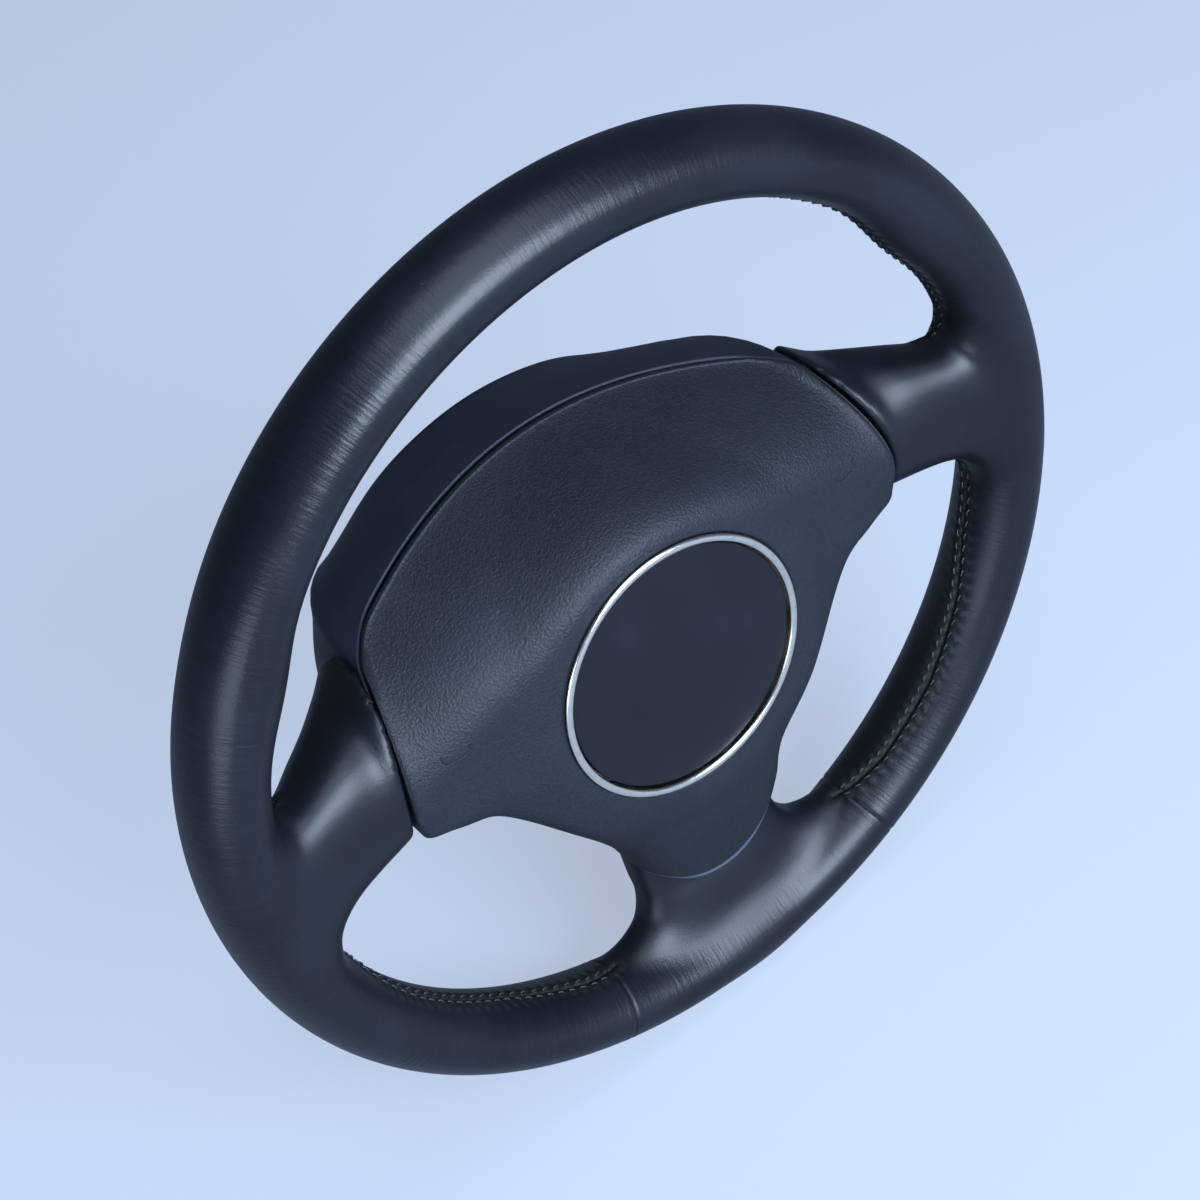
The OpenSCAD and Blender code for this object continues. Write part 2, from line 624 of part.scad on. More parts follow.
module round_plate(x0, y0, x1, y1, r) {
    translate([x0 + r, y0]) square([x1 - x0 - 2 * r, y1 - y0]);
    translate([x0, y0 + r]) square([x1 - x0, y1 - y0 - 2 * r]);
    for (x = [x0 + r, x1 - r], y = [y0 + r, y1 - r]) translate([x, y]) circle(r = r, $fn = 48);
}
module tray_plan(g) {
    round_plate(-tray_half_w - g, -tray_low - g, tray_half_w + g, tray_up + g, tray_corner + g);
    round_plate(-tray_neck_w - g, -tray_foot - g, tray_neck_w + g, 0, tray_corner + g);
}
clamp_angles = [45, 135, 225, 315];
clamp_stud_r = 2;
module at_clamp_studs() for (a = clamp_angles)
    translate([clamp_r * cos(a), inflator_y + clamp_r * sin(a), 0]) children();
module module_tray() color([0.45, 0.46, 0.48]) upright()
    difference() {
        union() {
            translate([0, 0, tray_z]) linear_extrude(tray_h) tray_plan(0);
            translate([0, 0, flange_top - tray_t]) linear_extrude(tray_t)
                tray_plan(tray_flange_w);
            translate([-14, -guide_low - 11, tray_z])
                cube([28, guide_low + 11 - tray_foot + 4, tray_t]);
        }
        translate([0, 0, tray_z + tray_t]) linear_extrude(tray_h) tray_plan(-tray_t);
        translate([0, inflator_y, tray_z - 1]) cylinder(h = 4, r = inflator_d / 2 + 0.5);
        for (g = guides) translate([g[0], g[1], tray_z - 1]) cylinder(h = 4, r = bush_r + 0.1);
        for (s = [-1, 1]) translate([s * guide_x, guide_y + contact_reach, tray_z - 1])
            cylinder(h = 4, r = 1.7);
        for (s = rivet_spots) translate([s[0], s[1], flange_top - 4])
            cylinder(h = 6, r = rivet_r + 0.1);
        at_clamp_studs() translate([0, 0, tray_z - 1]) cylinder(h = 4, r = clamp_stud_r + 0.2);
    }
module cover_rivets() color([0.6, 0.6, 0.6]) upright()
    for (s = rivet_spots) translate([s[0], s[1], flange_top - tray_t]) union() {
        translate([0, 0, -1.2]) cylinder(h = 1.2, r = 3);
        cylinder(h = 8, r = rivet_r);
    }
inflator_flange_t = 2;
module inflator() color([0.66, 0.67, 0.7]) upright() translate([0, inflator_y, tray_z])
    difference() {
        rotate_extrude($fn = 96) polygon([
            [0, -inflator_h * 0.45], [inflator_d / 2 - 8, -inflator_h * 0.45],
            [inflator_d / 2 - 2, -inflator_h * 0.38], [inflator_d / 2, -inflator_h * 0.3],
            [inflator_d / 2, -inflator_flange_t],
            [clamp_r + clamp_edge, -inflator_flange_t], [clamp_r + clamp_edge, 0],
            [inflator_d / 2, 0], [inflator_d / 2, inflator_h * 0.42],
            [inflator_d / 2 - 2, inflator_h * 0.5], [inflator_d / 2 - 8, inflator_h * 0.55],
            [0, inflator_h * 0.55]]);
        for (a = [0:30:330]) rotate([0, 0, a]) translate([inflator_d / 2 - 2, 0, 9])
            rotate([0, 90, 0]) cylinder(h = 6, r = 1.6, $fn = 24);
        translate([0, 0, -inflator_h * 0.45 - 1]) cylinder(h = 3.5, r = 7);
        at_flange_holes() cylinder(h = 12, r = clamp_stud_r + 0.2, center = true);
    }
module at_flange_holes() for (a = clamp_angles)
    translate([clamp_r * cos(a), clamp_r * sin(a), 0]) children();
module inflator_plug() color([0.75, 0.6, 0.15]) upright()
    translate([0, inflator_y, tray_z - inflator_h * 0.45]) union() {
        translate([0, 0, -2]) cylinder(h = 4.4, r = 6.8);
        translate([-5, -5, -4]) cube([10, 17, 3.9]);
    }
module cushion_clamp() color([0.5, 0.5, 0.52]) upright() union() {
    translate([0, inflator_y, tray_z + tray_t]) difference() {
        cylinder(h = 2, r = clamp_r + clamp_edge);
        translate([0, 0, -1]) cylinder(h = 4, r = inflator_d / 2 + 0.6);
    }
    at_clamp_studs() translate([0, 0, tray_z - 9]) cylinder(h = 9 + tray_t + 1, r = clamp_stud_r);
}
module clamp_nuts() color([0.68, 0.66, 0.6]) upright()
    at_clamp_studs() translate([0, 0, tray_z - inflator_flange_t - 4]) difference() {
        cylinder(h = 4, r = 3.9, $fn = 6);
        translate([0, 0, -1]) cylinder(h = 6, r = clamp_stud_r + 0.1);
    }
cushion_floor = bush_top + 6;
cushion_top = 1;
module airbag_cushion() color([0.86, 0.85, 0.8]) upright()
    difference() {
        translate([0, 0, cushion_floor])
            linear_extrude(cushion_top - cushion_floor) tray_plan(-tray_t - 0.6);
        translate([0, inflator_y, cushion_floor - 1])
            cylinder(h = tray_z + inflator_h * 0.55 + 1.3 - cushion_floor, r = inflator_d / 2 + 0.6);
    }

armature();
hub_insert();
rim_foam();
rim_leather_upper();
rim_leather_lower();
rear_cover();
rear_cover_screws();
guide_bolts();
horn_springs();
horn_contact_plates();
airbag_cover();
centre_disc();
trim_ring();
disc_push_nuts();
module_tray();
cover_rivets();
inflator();
inflator_plug();
cushion_clamp();
clamp_nuts();
airbag_cushion();
guide_bushes();
horn_contact_pins();
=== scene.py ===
"""Looks of a three-spoke leather steering wheel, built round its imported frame, in metres."""

import json
import math
from itertools import product

import bmesh
import bpy
import numpy as np
from mathutils import Matrix, Vector
from mathutils.kdtree import KDTree


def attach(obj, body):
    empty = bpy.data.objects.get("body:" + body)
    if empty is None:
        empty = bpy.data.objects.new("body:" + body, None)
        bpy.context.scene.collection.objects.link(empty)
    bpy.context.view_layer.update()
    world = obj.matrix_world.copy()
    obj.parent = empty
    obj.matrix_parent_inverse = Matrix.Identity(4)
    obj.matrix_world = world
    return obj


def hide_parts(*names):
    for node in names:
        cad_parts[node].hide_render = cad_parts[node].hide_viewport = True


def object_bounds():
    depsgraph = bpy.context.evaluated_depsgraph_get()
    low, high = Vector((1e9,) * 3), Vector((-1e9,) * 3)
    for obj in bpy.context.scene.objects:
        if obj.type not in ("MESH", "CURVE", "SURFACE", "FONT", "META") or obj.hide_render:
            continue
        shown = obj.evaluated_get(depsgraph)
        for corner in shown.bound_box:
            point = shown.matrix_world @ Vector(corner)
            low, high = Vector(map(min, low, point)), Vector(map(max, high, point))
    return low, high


bl_info = {
    "name": "Leather steering wheel",
    "version": (1, 0, 0),
    "blender": (4, 5, 0),
    "location": "View3D > Sidebar > Wheel",
    "description": "Leather, stitching, airbag cover, trim and finishes of a steering wheel",
    "category": "Object",
}

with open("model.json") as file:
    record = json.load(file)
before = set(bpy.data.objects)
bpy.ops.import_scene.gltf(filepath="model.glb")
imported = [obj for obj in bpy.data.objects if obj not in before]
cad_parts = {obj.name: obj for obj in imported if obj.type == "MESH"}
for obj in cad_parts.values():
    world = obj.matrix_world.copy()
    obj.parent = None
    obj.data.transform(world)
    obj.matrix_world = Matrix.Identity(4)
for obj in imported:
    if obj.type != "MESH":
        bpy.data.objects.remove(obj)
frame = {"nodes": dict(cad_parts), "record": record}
CAD_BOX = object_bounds()

MM = 0.001
HUB_DEPTH = 84.0
MOUNTS = {m["name"]: m["pos_m"] for m in frame["record"]["mounts"]}
# Place of the rim's middle plane along the steering axis
RIM_PLANE_Y = MOUNTS["hub_back_face"][1] - HUB_DEPTH * MM

WHEEL = "wheel"
MODULE = "airbag_module"


class LeatherSettings(bpy.types.PropertyGroup):
    rim_d: bpy.props.FloatProperty(
        name="Rim diameter", description="Outer diameter of the rim, mm", default=375.0)
    grip_w: bpy.props.FloatProperty(
        name="Grip width", description="Width of the grip in the wheel plane, mm",
        default=28.8)
    grip_h: bpy.props.FloatProperty(
        name="Grip height", description="Thickness of the grip, mm", default=38.0)
    thumb_swell: bpy.props.FloatProperty(
        name="Thumb swell", description="How far the thumb rests stand inward, mm", default=3.4)
    seam_angle: bpy.props.FloatProperty(
        name="Seam angle", description="Angle of the cross seams from six o'clock, degrees",
        default=22.8)
    stitch_pitch: bpy.props.FloatProperty(
        name="Stitch pitch", description="Distance from stitch to stitch, mm", default=5.2)
    voxel: bpy.props.FloatProperty(
        name="Mesh step", description="Size of the leather mesh's faces, mm", default=1.8)
    colour: bpy.props.FloatVectorProperty(
        name="Leather", description="Colour of the leather", subtype="COLOR", size=3,
        default=(0.0046, 0.0056, 0.0088))
    thread: bpy.props.FloatVectorProperty(
        name="Thread", description="Colour of the sewing thread", subtype="COLOR", size=3,
        default=(0.016, 0.018, 0.023))


class CoverSettings(bpy.types.PropertyGroup):
    colour: bpy.props.FloatVectorProperty(
        name="Cover", description="Colour of the grained airbag cover", subtype="COLOR", size=3,
        default=(0.0125, 0.0150, 0.0215))
    rear_colour: bpy.props.FloatVectorProperty(
        name="Rear cover", description="Colour of the matt rear cover", subtype="COLOR", size=3,
        default=(0.0120, 0.0155, 0.0250))
    disc_colour: bpy.props.FloatVectorProperty(
        name="Disc", description="Colour of the plain centre disc", subtype="COLOR", size=3,
        default=(0.0058, 0.0068, 0.0110))
    ring_colour: bpy.props.FloatVectorProperty(
        name="Trim ring", description="Colour of the polished trim ring", subtype="COLOR", size=3,
        default=(0.98, 0.91, 0.79))
    grain: bpy.props.FloatProperty(
        name="Grain size", description="Size of the cover's pebble grain, mm", default=1.0)


class StageSettings(bpy.types.PropertyGroup):
    floor_colour: bpy.props.FloatVectorProperty(
        name="Floor", description="Colour of the pale floor", subtype="COLOR", size=3,
        default=(0.62, 0.72, 0.90))


# Shape of the wheel, millimetres, wheel plane flat: x right, y to twelve o'clock, z to the driver

# Spokes: last station, end of the bottom one's leather, run past the middle of the rim
FULL = 60.0
LOW_END = 104.0
SPOKE_RUN = 3
COVER_HALF_W = 111.2
COVER_GAP = 1.6
COVER_WALL = 2.8
# Height of the cover's skirt at the top and elsewhere
TOP_LIP = 2.6
SKIRT_H = 13.0
# Trim ring: radius, width, height, distance below the middle, lean
RING_R = 50.6
BAND_W = 3.0
RING_Z = 14.6
RING_DROP = 13.8
RING_LEAN = math.radians(2.6)
# Parabola of the cover's lower edge
LIP_LOW = -131
LIP_RISE = 176 / 10000
# Limits of the grid that the leather is meshed in
GRID_BACK = -50
GRID_FRONT = 24
# Mean radius of the grip's section
GRIP_R = 17

# Side spoke from the cover to the middle of the rim: station, lower and upper angle, front, back,
# backward bend of the upper side
SIDE_STATIONS = (
    (0, -10.4, 23.2, 9.0, -42, 12), (4, -10.2, 19.8, 9.0, -40, 9),
    (8, -10.0, 17.3, 9.2, -38, 7), (17, -9.7, 15.0, 9.8, -32, 3.5),
    (27, -9.6, 12.5, 11.0, -27, 1), (35, -10.0, 10.8, 12.7, -22.5, 0),
    (41, -11.3, 10.5, 14.0, -20, 0), (45, -13.2, 11.6, 14.8, -19, 0),
    (49, -15.6, 13.8, 15.4, -17.6, 0), (54, -17.2, 16.2, 15.6, -16.6, 0),
    (60, -17.2, 17.2, 15.6, -16.0, 0))
# The leather's corner beside the rear cover: degrees, height behind which it slants off, slant
CORNER = (26.8, -28, 0.52)
# The leather tucks in beside the cover: height, slant, last station
TUCK = (-26, 0.1, 16)
# Bottom spoke from under the lip to the middle of the rim: station, half angle, front, back
LOW_STATIONS = (
    (0, 16.4, -3.0, -40), (8, 16.0, -2.0, -37), (15, 15.4, -1.8, -34), (24.5, 14.7, 0.3, -29),
    (30, 14.2, 2.6, -26.5), (36, 14.6, 4.6, -24), (41, 16.0, 6.2, -21), (46, 18.4, 7.8, -19),
    (51, 20.6, 9.2, -17.4), (60, 21.2, 10.2, -16.2))


def upright(points):
    """Wheel points in millimetres to the row frame in metres."""
    p = np.asarray(points, float)
    return np.stack([p[..., 0] * MM, RIM_PLANE_Y - p[..., 2] * MM, p[..., 1] * MM], -1)


def lerp(a, b, t):
    return a + (b - a) * t


def ease(t):
    t = np.clip(t, 0, 1)
    return t * t * (3 - 2 * t)


def soft_min(a, b, k):
    h = np.clip(0.5 + 0.5 * (b - a) / k, 0, 1)
    return lerp(b, a, h) - k * h * (1 - h)


def soft_max(a, b, k):
    return -soft_min(-a, -b, k)


def smooth_curve(knots, steps):
    """A smooth curve through the knots, in even steps, both ends included."""
    k = np.asarray(knots, float)
    k = np.vstack([k[:1], k, k[-1:]])
    t = np.linspace(0, 1, steps, endpoint=False)[:, None]
    rows = []
    for a, b, c, d in zip(k[:-3], k[1:-2], k[2:-1], k[3:]):
        rows.append(0.5 * (2 * b + (c - a) * t + (2 * a - 5 * b + 4 * c - d) * t * t
                           + (3 * b - a - 3 * c + d) * t ** 3))
    return np.vstack(rows + [k[-1:]])


def side_x(y):
    return COVER_HALF_W - 0.048 * y - 0.00524 * y * y


def side_z(y):
    return 9.3 + 0.14 * y - 0.01824 * y * y


def side_end(a):
    """Radius at which the leather ends beside the cover, in the direction a."""
    y = COVER_HALF_W * np.sin(a)
    return np.hypot(side_x(y), y) + COVER_GAP


class WheelForm:
    """Signed distance to the leather's surface, in wheel millimetres."""

    # Power of the spokes' sections, 2 would be an ellipse
    ROUND = 2 / 0.78
    # Width over which the spokes run over into the rim
    BLEND = 6.0
    LOW_BLEND = 11.0
    END_ROUND = 2.8
    # Start and growth of the spoke's backward bend
    BEND_FROM = 0.55
    BEND_POWER = 1.7
    THUMB_AT = math.radians(32)
    THUMB_SPAN = math.radians(10)

    def __init__(self, leather, inset=0.0):
        self.inset = inset
        self.a = leather.grip_w / 2
        self.b = leather.grip_h / 2
        self.core = leather.rim_d / 2 - self.a
        self.swell = leather.thumb_swell
        self.side = smooth_curve(SIDE_STATIONS, 12)
        self.low = smooth_curve(LOW_STATIONS, 12)

    def rim(self, x, y, z):
        above = np.arctan2(y, np.abs(x))
        bump = self.swell * np.exp(-((above - self.THUMB_AT) / self.THUMB_SPAN) ** 2 * 1.6)
        a = self.a + bump / 2
        q = np.hypot(x, y) - (self.core - bump / 2)
        k0 = np.hypot(q / a, z / self.b)
        k1 = np.hypot(q / a ** 2, z / self.b ** 2)
        return k0 * (k0 - 1) / np.maximum(k1, 1e-6)

    def section(self, u, z, u0, u1, front, back):
        """Distance to a rounded section between u0 and u1, back and front."""
        um, uh = (u0 + u1) / 2, (u1 - u0) / 2
        zm, zh = (front + back) / 2, (front - back) / 2
        du, dz = u - um, z - zm
        f = ((np.abs(du) / uh) ** self.ROUND + (np.abs(dz) / zh) ** self.ROUND) ** (1 / self.ROUND)
        return np.hypot(du, dz) * (1 - 1 / np.maximum(f, 0.05))

    def side_spoke(self, x, y, z):
        r = np.hypot(x, y)
        a = np.arctan2(y, np.abs(x))
        start = side_end(np.clip(a, -0.3, 0.5))
        s = np.clip((r - start) / (self.core - start) * FULL, 0, FULL)
        low, high, front, back, bend = (np.interp(s, self.side[:, 0], self.side[:, i])
                                        for i in range(1, 6))
        u, u0, u1 = r * a, r * np.radians(low), r * np.radians(high)
        um = self.BEND_FROM * (u0 + u1) / 2
        lean = bend * np.clip((u - um) / (u1 - um), 0, 1.15) ** self.BEND_POWER
        d = self.section(u, z + lean, u0, u1, front, back)
        tuck_z, tuck_slant, tuck_last = TUCK
        tuck = tuck_slant * np.maximum(0, tuck_z - z) * np.maximum(0, 1 - s / tuck_last)
        d = soft_max(d, start - tuck - r, self.END_ROUND)
        corner, height, slant = CORNER
        over = np.degrees(a) - corner - np.minimum(0, z - height) * slant
        d = soft_max(d, np.radians(over - 1.5 * np.maximum(0, r - start - 10)) * r, 2)
        return np.maximum(d, r - self.core - SPOKE_RUN)

    def low_spoke(self, x, y, z):
        r = np.hypot(x, y)
        a = np.abs(np.arctan2(x, -y))
        s = np.clip((r - LOW_END) / (self.core - LOW_END) * FULL, 0, FULL)
        half, front, back = (np.interp(s, self.low[:, 0], self.low[:, i]) for i in range(1, 4))
        u1 = r * np.radians(half)
        d = self.section(r * a, z, -u1, u1, front, back)
        d = soft_max(d, LOW_END - r, self.END_ROUND)
        return np.maximum(d, r - self.core - SPOKE_RUN)

    def __call__(self, x, y, z):
        d = soft_min(self.rim(x, y, z), self.side_spoke(x, y, z), self.BLEND)
        return soft_min(d, self.low_spoke(x, y, z), self.LOW_BLEND) + self.inset

    def at(self, p):
        return self(p[..., 0], p[..., 1], p[..., 2])

    def normal(self, p, h=0.05):
        step = np.eye(3) * h
        g = np.stack([self.at(p + e) - self.at(p - e) for e in step], -1) / (2 * h)
        return g, g / np.maximum(np.linalg.norm(g, axis=-1, keepdims=True), 1e-9)

    def settle(self, p, rounds=3):
        """Moves points onto the surface."""
        for _ in range(rounds):
            g, n = self.normal(p)
            size = np.maximum(np.linalg.norm(g, axis=-1), 0.3)
            p = p - n * np.clip(self.at(p) / size, -1.5, 1.5)[..., None]
        return p


def surface_net(form, low, high, step):
    """Closed quad mesh of a form's surface: one vertex for each grid cell that it crosses."""
    axes = [np.arange(low[i], high[i] + step, step) for i in range(3)]
    value = form(*np.meshgrid(*axes, indexing="ij")).astype(np.float32)
    n = np.array(value.shape) - 1

    def corner(o):
        return value[o[0]:n[0] + o[0], o[1]:n[1] + o[1], o[2]:n[2] + o[2]]

    inside = sum((corner(o) < 0).astype(np.int8) for o in product((0, 1), repeat=3))
    active = (inside > 0) & (inside < 8)
    index = np.full(active.shape, -1, np.int64)
    index[active] = np.arange(active.sum())
    place = np.zeros((active.sum(), 3))
    count = np.zeros(active.sum())
    for axis in range(3):
        for o in product((0, 1), repeat=3):
            if o[axis]:
                continue
            end = [1 if i == axis else o[i] for i in range(3)]
            a, b = corner(o)[active], corner(end)[active]
            crosses = (a < 0) != (b < 0)
            t = np.where(crosses, a / np.where(crosses, a - b, 1), 0)
            point = np.tile(np.array(o, float), (len(t), 1))
            point[:, axis] = t
            place += point * crosses[:, None]
            count += crosses
    cells = np.argwhere(active)
    points = np.array([ax[0] for ax in axes]) + (cells + place / count[:, None]) * step
    faces = []
    for axis in range(3):
        u, v = (axis + 1) % 3, (axis + 2) % 3
        first = [slice(1, -1)] * 3
        first[axis] = slice(0, -1)
        second = list(first)
        second[axis] = slice(1, None)
        a, b = value[tuple(first)] < 0, value[tuple(second)] < 0
        where = np.argwhere(a != b)
        outward = a[tuple(where.T)]
        where[:, u] += 1
        where[:, v] += 1
        quad = []
        for du, dv in ((1, 1), (0, 1), (0, 0), (1, 0)):
            cell = where.copy()
            cell[:, u] -= du
            cell[:, v] -= dv
            quad.append(index[tuple(cell.T)])
        quad = np.stack(quad, 1)
        quad[~outward] = quad[~outward][:, ::-1]
        faces.append(quad)
    return points, np.vstack(faces)


def add_object(name, data):
    made = bpy.data.objects.new(name, data)
    bpy.context.scene.collection.objects.link(made)
    return made


def add_piece(name, mesh, body, material):
    made = add_object(name, mesh)
    mesh.materials.append(material)
    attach(made, body)
    return made


def mesh_object(name, points, faces, body, material):
    mesh = bpy.data.meshes.new(name)
    mesh.from_pydata([tuple(p) for p in points], [], [tuple(int(i) for i in f) for f in faces])
    mesh.validate()
    mesh.polygons.foreach_set("use_smooth", [True] * len(mesh.polygons))
    return add_piece(name, mesh, body, material)


def merged(skins):
    """Points and faces of several skins as one."""
    points, faces = [], []
    for p, f in skins:
        faces += [tuple(i + len(points) for i in face) for face in f]
        points += list(p)
    return np.array(points), faces


def loft(rows, closed_rows=False):
    """Points and quads of a skin over rows of points; each row is a closed loop."""
    rows = np.asarray(rows, float)
    count, cols = rows.shape[:2]
    faces = []
    for i in range(count if closed_rows else count - 1):
        j = (i + 1) % count
        for k in range(cols):
            m = (k + 1) % cols
            faces.append((i * cols + k, i * cols + m, j * cols + m, j * cols + k))
    return rows.reshape(-1, 3), faces


def lathe(profile, segments, place):
    """Skin of a profile (radius, height) turned about the local z axis."""
    turns = np.linspace(0, 2 * math.pi, segments, endpoint=False)
    rows = [[place(r * math.cos(t), r * math.sin(t), z) for t in turns] for r, z in profile]
    return loft(rows)


def tube(path, radius, sides):
    """A round tube with closed ends along a path of points."""
    ahead = np.roll(path, -1, 0) - np.roll(path, 1, 0)
    ahead[0], ahead[-1] = path[1] - path[0], path[-1] - path[-2]
    ahead /= np.linalg.norm(ahead, axis=1, keepdims=True)
    side = np.cross(ahead, (0.0, 0.0, 1.0))
    side /= np.maximum(np.linalg.norm(side, axis=1, keepdims=True), 1e-6)
    up = np.cross(side, ahead)
    turn = np.linspace(0, 2 * math.pi, sides, endpoint=False)
    rows = [p + radius * (np.outer(np.cos(turn), s) + np.outer(np.sin(turn), v))
            for p, s, v in zip(path, side, up)]
    points, faces = loft(rows)
    last = len(points) - sides
    faces.append(tuple(range(sides))[::-1])
    faces.append(tuple(last + i for i in range(sides)))
    return points, faces


class Sock:
    """A shader value that Python's operators work on."""

    def __init__(self, tree, link):
        self.tree, self.link = tree, link

    def maths(self, operation, *others):
        return self.tree.add("ShaderNodeMath", {"operation": operation}, [self, *others])

    def __add__(self, o): return self.maths("ADD", o)
    def __sub__(self, o): return self.maths("SUBTRACT", o)
    def __mul__(self, o): return self.maths("MULTIPLY", o)
    def __radd__(self, o): return self.maths("ADD", o)
    def absolute(self): return self.maths("ABSOLUTE")
    def sine(self): return self.maths("SINE")
    def most(self, o): return self.maths("MAXIMUM", o)

    def __rsub__(self, o):
        return self.tree.add("ShaderNodeMath", {"operation": "SUBTRACT"}, [o, self])

    def ramp(self, low, high):
        """0 below low, 1 above high, smooth between; the other way round where low is higher."""
        if low > high:
            return 1 - self.ramp(high, low)
        return self.tree.add("ShaderNodeMapRange", {"interpolation_type": "SMOOTHSTEP"},
                             {"Value": self, "From Min": low, "From Max": high})


class Finish:
    """A material whose nodes come from a few methods."""

    def __init__(self, name):
        self.material = bpy.data.materials.new(name)
        self.material.use_nodes = True
        self.nodes = self.material.node_tree.nodes
        self.links = self.material.node_tree.links
        self.shader = self.nodes["Principled BSDF"]

    def plug(self, socket, value):
        if isinstance(value, Sock):
            self.links.new(value.link, socket)
        else:
            socket.default_value = value

    def add(self, kind, settings, values, output=0):
        node = self.nodes.new(kind)
        for key, setting in settings.items():
            setattr(node, key, setting)
        pairs = enumerate(values) if isinstance(values, (list, tuple)) else values.items()
        for key, value in pairs:
            self.plug(node.inputs[key], value)
        return Sock(self, node.outputs[output])

    def place(self):
        """Object coordinates in millimetres."""
        here = self.add("ShaderNodeTexCoord", {}, {}, "Object")
        return self.add("ShaderNodeVectorMath", {"operation": "SCALE"}, {0: here, "Scale": 1 / MM})

    def split(self, vector):
        node = self.nodes.new("ShaderNodeSeparateXYZ")
        self.links.new(vector.link, node.inputs[0])
        return [Sock(self, o) for o in node.outputs]

    def join(self, x, y, z):
        return self.add("ShaderNodeCombineXYZ", {}, [x, y, z])

    def noise(self, where, size, detail=3.0, roughness=0.5):
        values = {"Vector": where, "Scale": 1 / size, "Detail": detail, "Roughness": roughness}
        return self.add("ShaderNodeTexNoise", {}, values, "Fac")

    def cells(self, where, size, feature="F1", smooth=0.5):
        values = {"Vector": where, "Scale": 1 / size}
        if feature == "SMOOTH_F1":
            values["Smoothness"] = smooth
        return self.add("ShaderNodeTexVoronoi", {"feature": feature}, values, "Distance")

    def mix(self, mask, a, b):
        """Colour a where the mask is 0, b where it is 1."""
        node = self.nodes.new("ShaderNodeMix")
        node.data_type = "RGBA"
        for key, value in ((0, mask), (6, a), (7, b)):
            if not isinstance(value, Sock) and key > 0:
                value = (*value, 1.0)
            self.plug(node.inputs[key], value)
        return Sock(self, node.outputs[2])

    def relief(self, height, depth, under=None):
        """Bump from a height of 0 to 1 that stands for depth millimetres."""
        values = {"Height": height, "Distance": depth * MM, "Strength": 1.0}
        if under is not None:
            values["Normal"] = under
        return self.add("ShaderNodeBump", {}, values, "Normal")

    def set(self, **values):
        for key, value in values.items():
            self.plug(self.shader.inputs[key.replace("_", " ")], value)
        return self

    def attribute(self, name):
        return self.add("ShaderNodeAttribute", {"attribute_name": name}, {}, "Fac")


def tint(colour, factor):
    return tuple(c * factor for c in colour)


def leather_finish(leather):
    """Smooth black leather, worn to a satin shine, puckered beside its sewn seam, with painted
    shade in the seam's gutter.
    """
    f = Finish("leather")
    p = f.place()
    along = f.attribute("seam_along")
    distance = f.attribute("seam_away")
    cross = f.attribute("cross_seam")
    wear = f.attribute("wear")
    on_rim = f.attribute("on_rim") * distance.ramp(3.0, 7.0)
    near = distance.ramp(9.0, 1.5)
    ripple = (along * (2 * math.pi / leather.stitch_pitch) + f.noise(p, 9.0) * 1.6).sine()
    pucker = ripple * near * distance.ramp(0.0, 1.2)
    fine = f.noise(f.join(along, distance * 0.12, 0.0), 1.5, 4.0, 0.6) * distance.ramp(12.0, 2.0)
    groove = distance.ramp(1.3, 0.2)
    ring = f.attribute("ring_along")
    section = f.attribute("ring_across")
    crease = f.noise(f.join(ring, section * 0.10, 0.0), 1.7, 3.0, 0.55)
    deep = f.noise(f.join(ring, section * 0.05, 0.0), 4.5, 2.0, 0.5).ramp(0.62, 0.8)
    grain = f.cells(p, 0.75, "SMOOTH_F1")
    pores = f.noise(p, 0.35, 2.0)
    blotch = f.noise(p, 38.0, 3.0)
    height = (crease * (0.3 + wear * 1.3) + deep * wear * -1.2) * on_rim
    normal = f.relief(grain * 0.6 + pores * 0.4, 0.045)
    normal = f.relief(height, 0.12, normal)
    normal = f.relief(pucker * 0.4 + fine * 0.6 - groove * 1.4, 0.38, normal)
    normal = f.relief(cross.absolute().ramp(0.0, 0.7), 0.15, normal)
    # Painted shade: within about 5 mm of the sewn seam the leather is darkened and made rougher
    painted_shade_gutter = distance.ramp(5.2, 3.4)
    dark = painted_shade_gutter.most(cross.absolute().ramp(0.6, 0.1) * 0.8)
    base = f.mix(blotch.ramp(0.35, 0.7), leather.colour, tint(leather.colour, 1.5))
    base = f.mix(wear * on_rim * crease.ramp(0.5, 0.8) * 0.5, base, tint(leather.colour, 2.4))
    speck = f.noise(p, 1.3, 1.0).ramp(0.80, 0.85) * f.noise(p, 24.0).ramp(0.52, 0.62)
    base = f.mix(speck * 0.35, base, (0.16, 0.18, 0.21))
    # Painted shade darkens the seam's gutter; the cross seams get a dark joint line
    base = f.mix(dark * 0.85, base, tint(leather.colour, 0.2))
    rough = 0.41 - wear * 0.05 + (blotch - 0.5) * 0.12 + (pores - 0.5) * 0.1 + painted_shade_gutter * 0.3
    f.set(Base_Color=base, Roughness=rough, Specular_IOR_Level=0.42, Normal=normal)
    return f.material


def thread_finish(leather):
    """Twisted black polyester thread."""
    f = Finish("thread")
    p = f.place()
    strand = f.noise(p, 0.5, 2.0)
    normal = f.relief(strand, 0.15)
    f.set(Base_Color=f.mix(strand, leather.thread, tint(leather.thread, 2.6)), Roughness=0.45,
          Normal=normal)
    return f.material


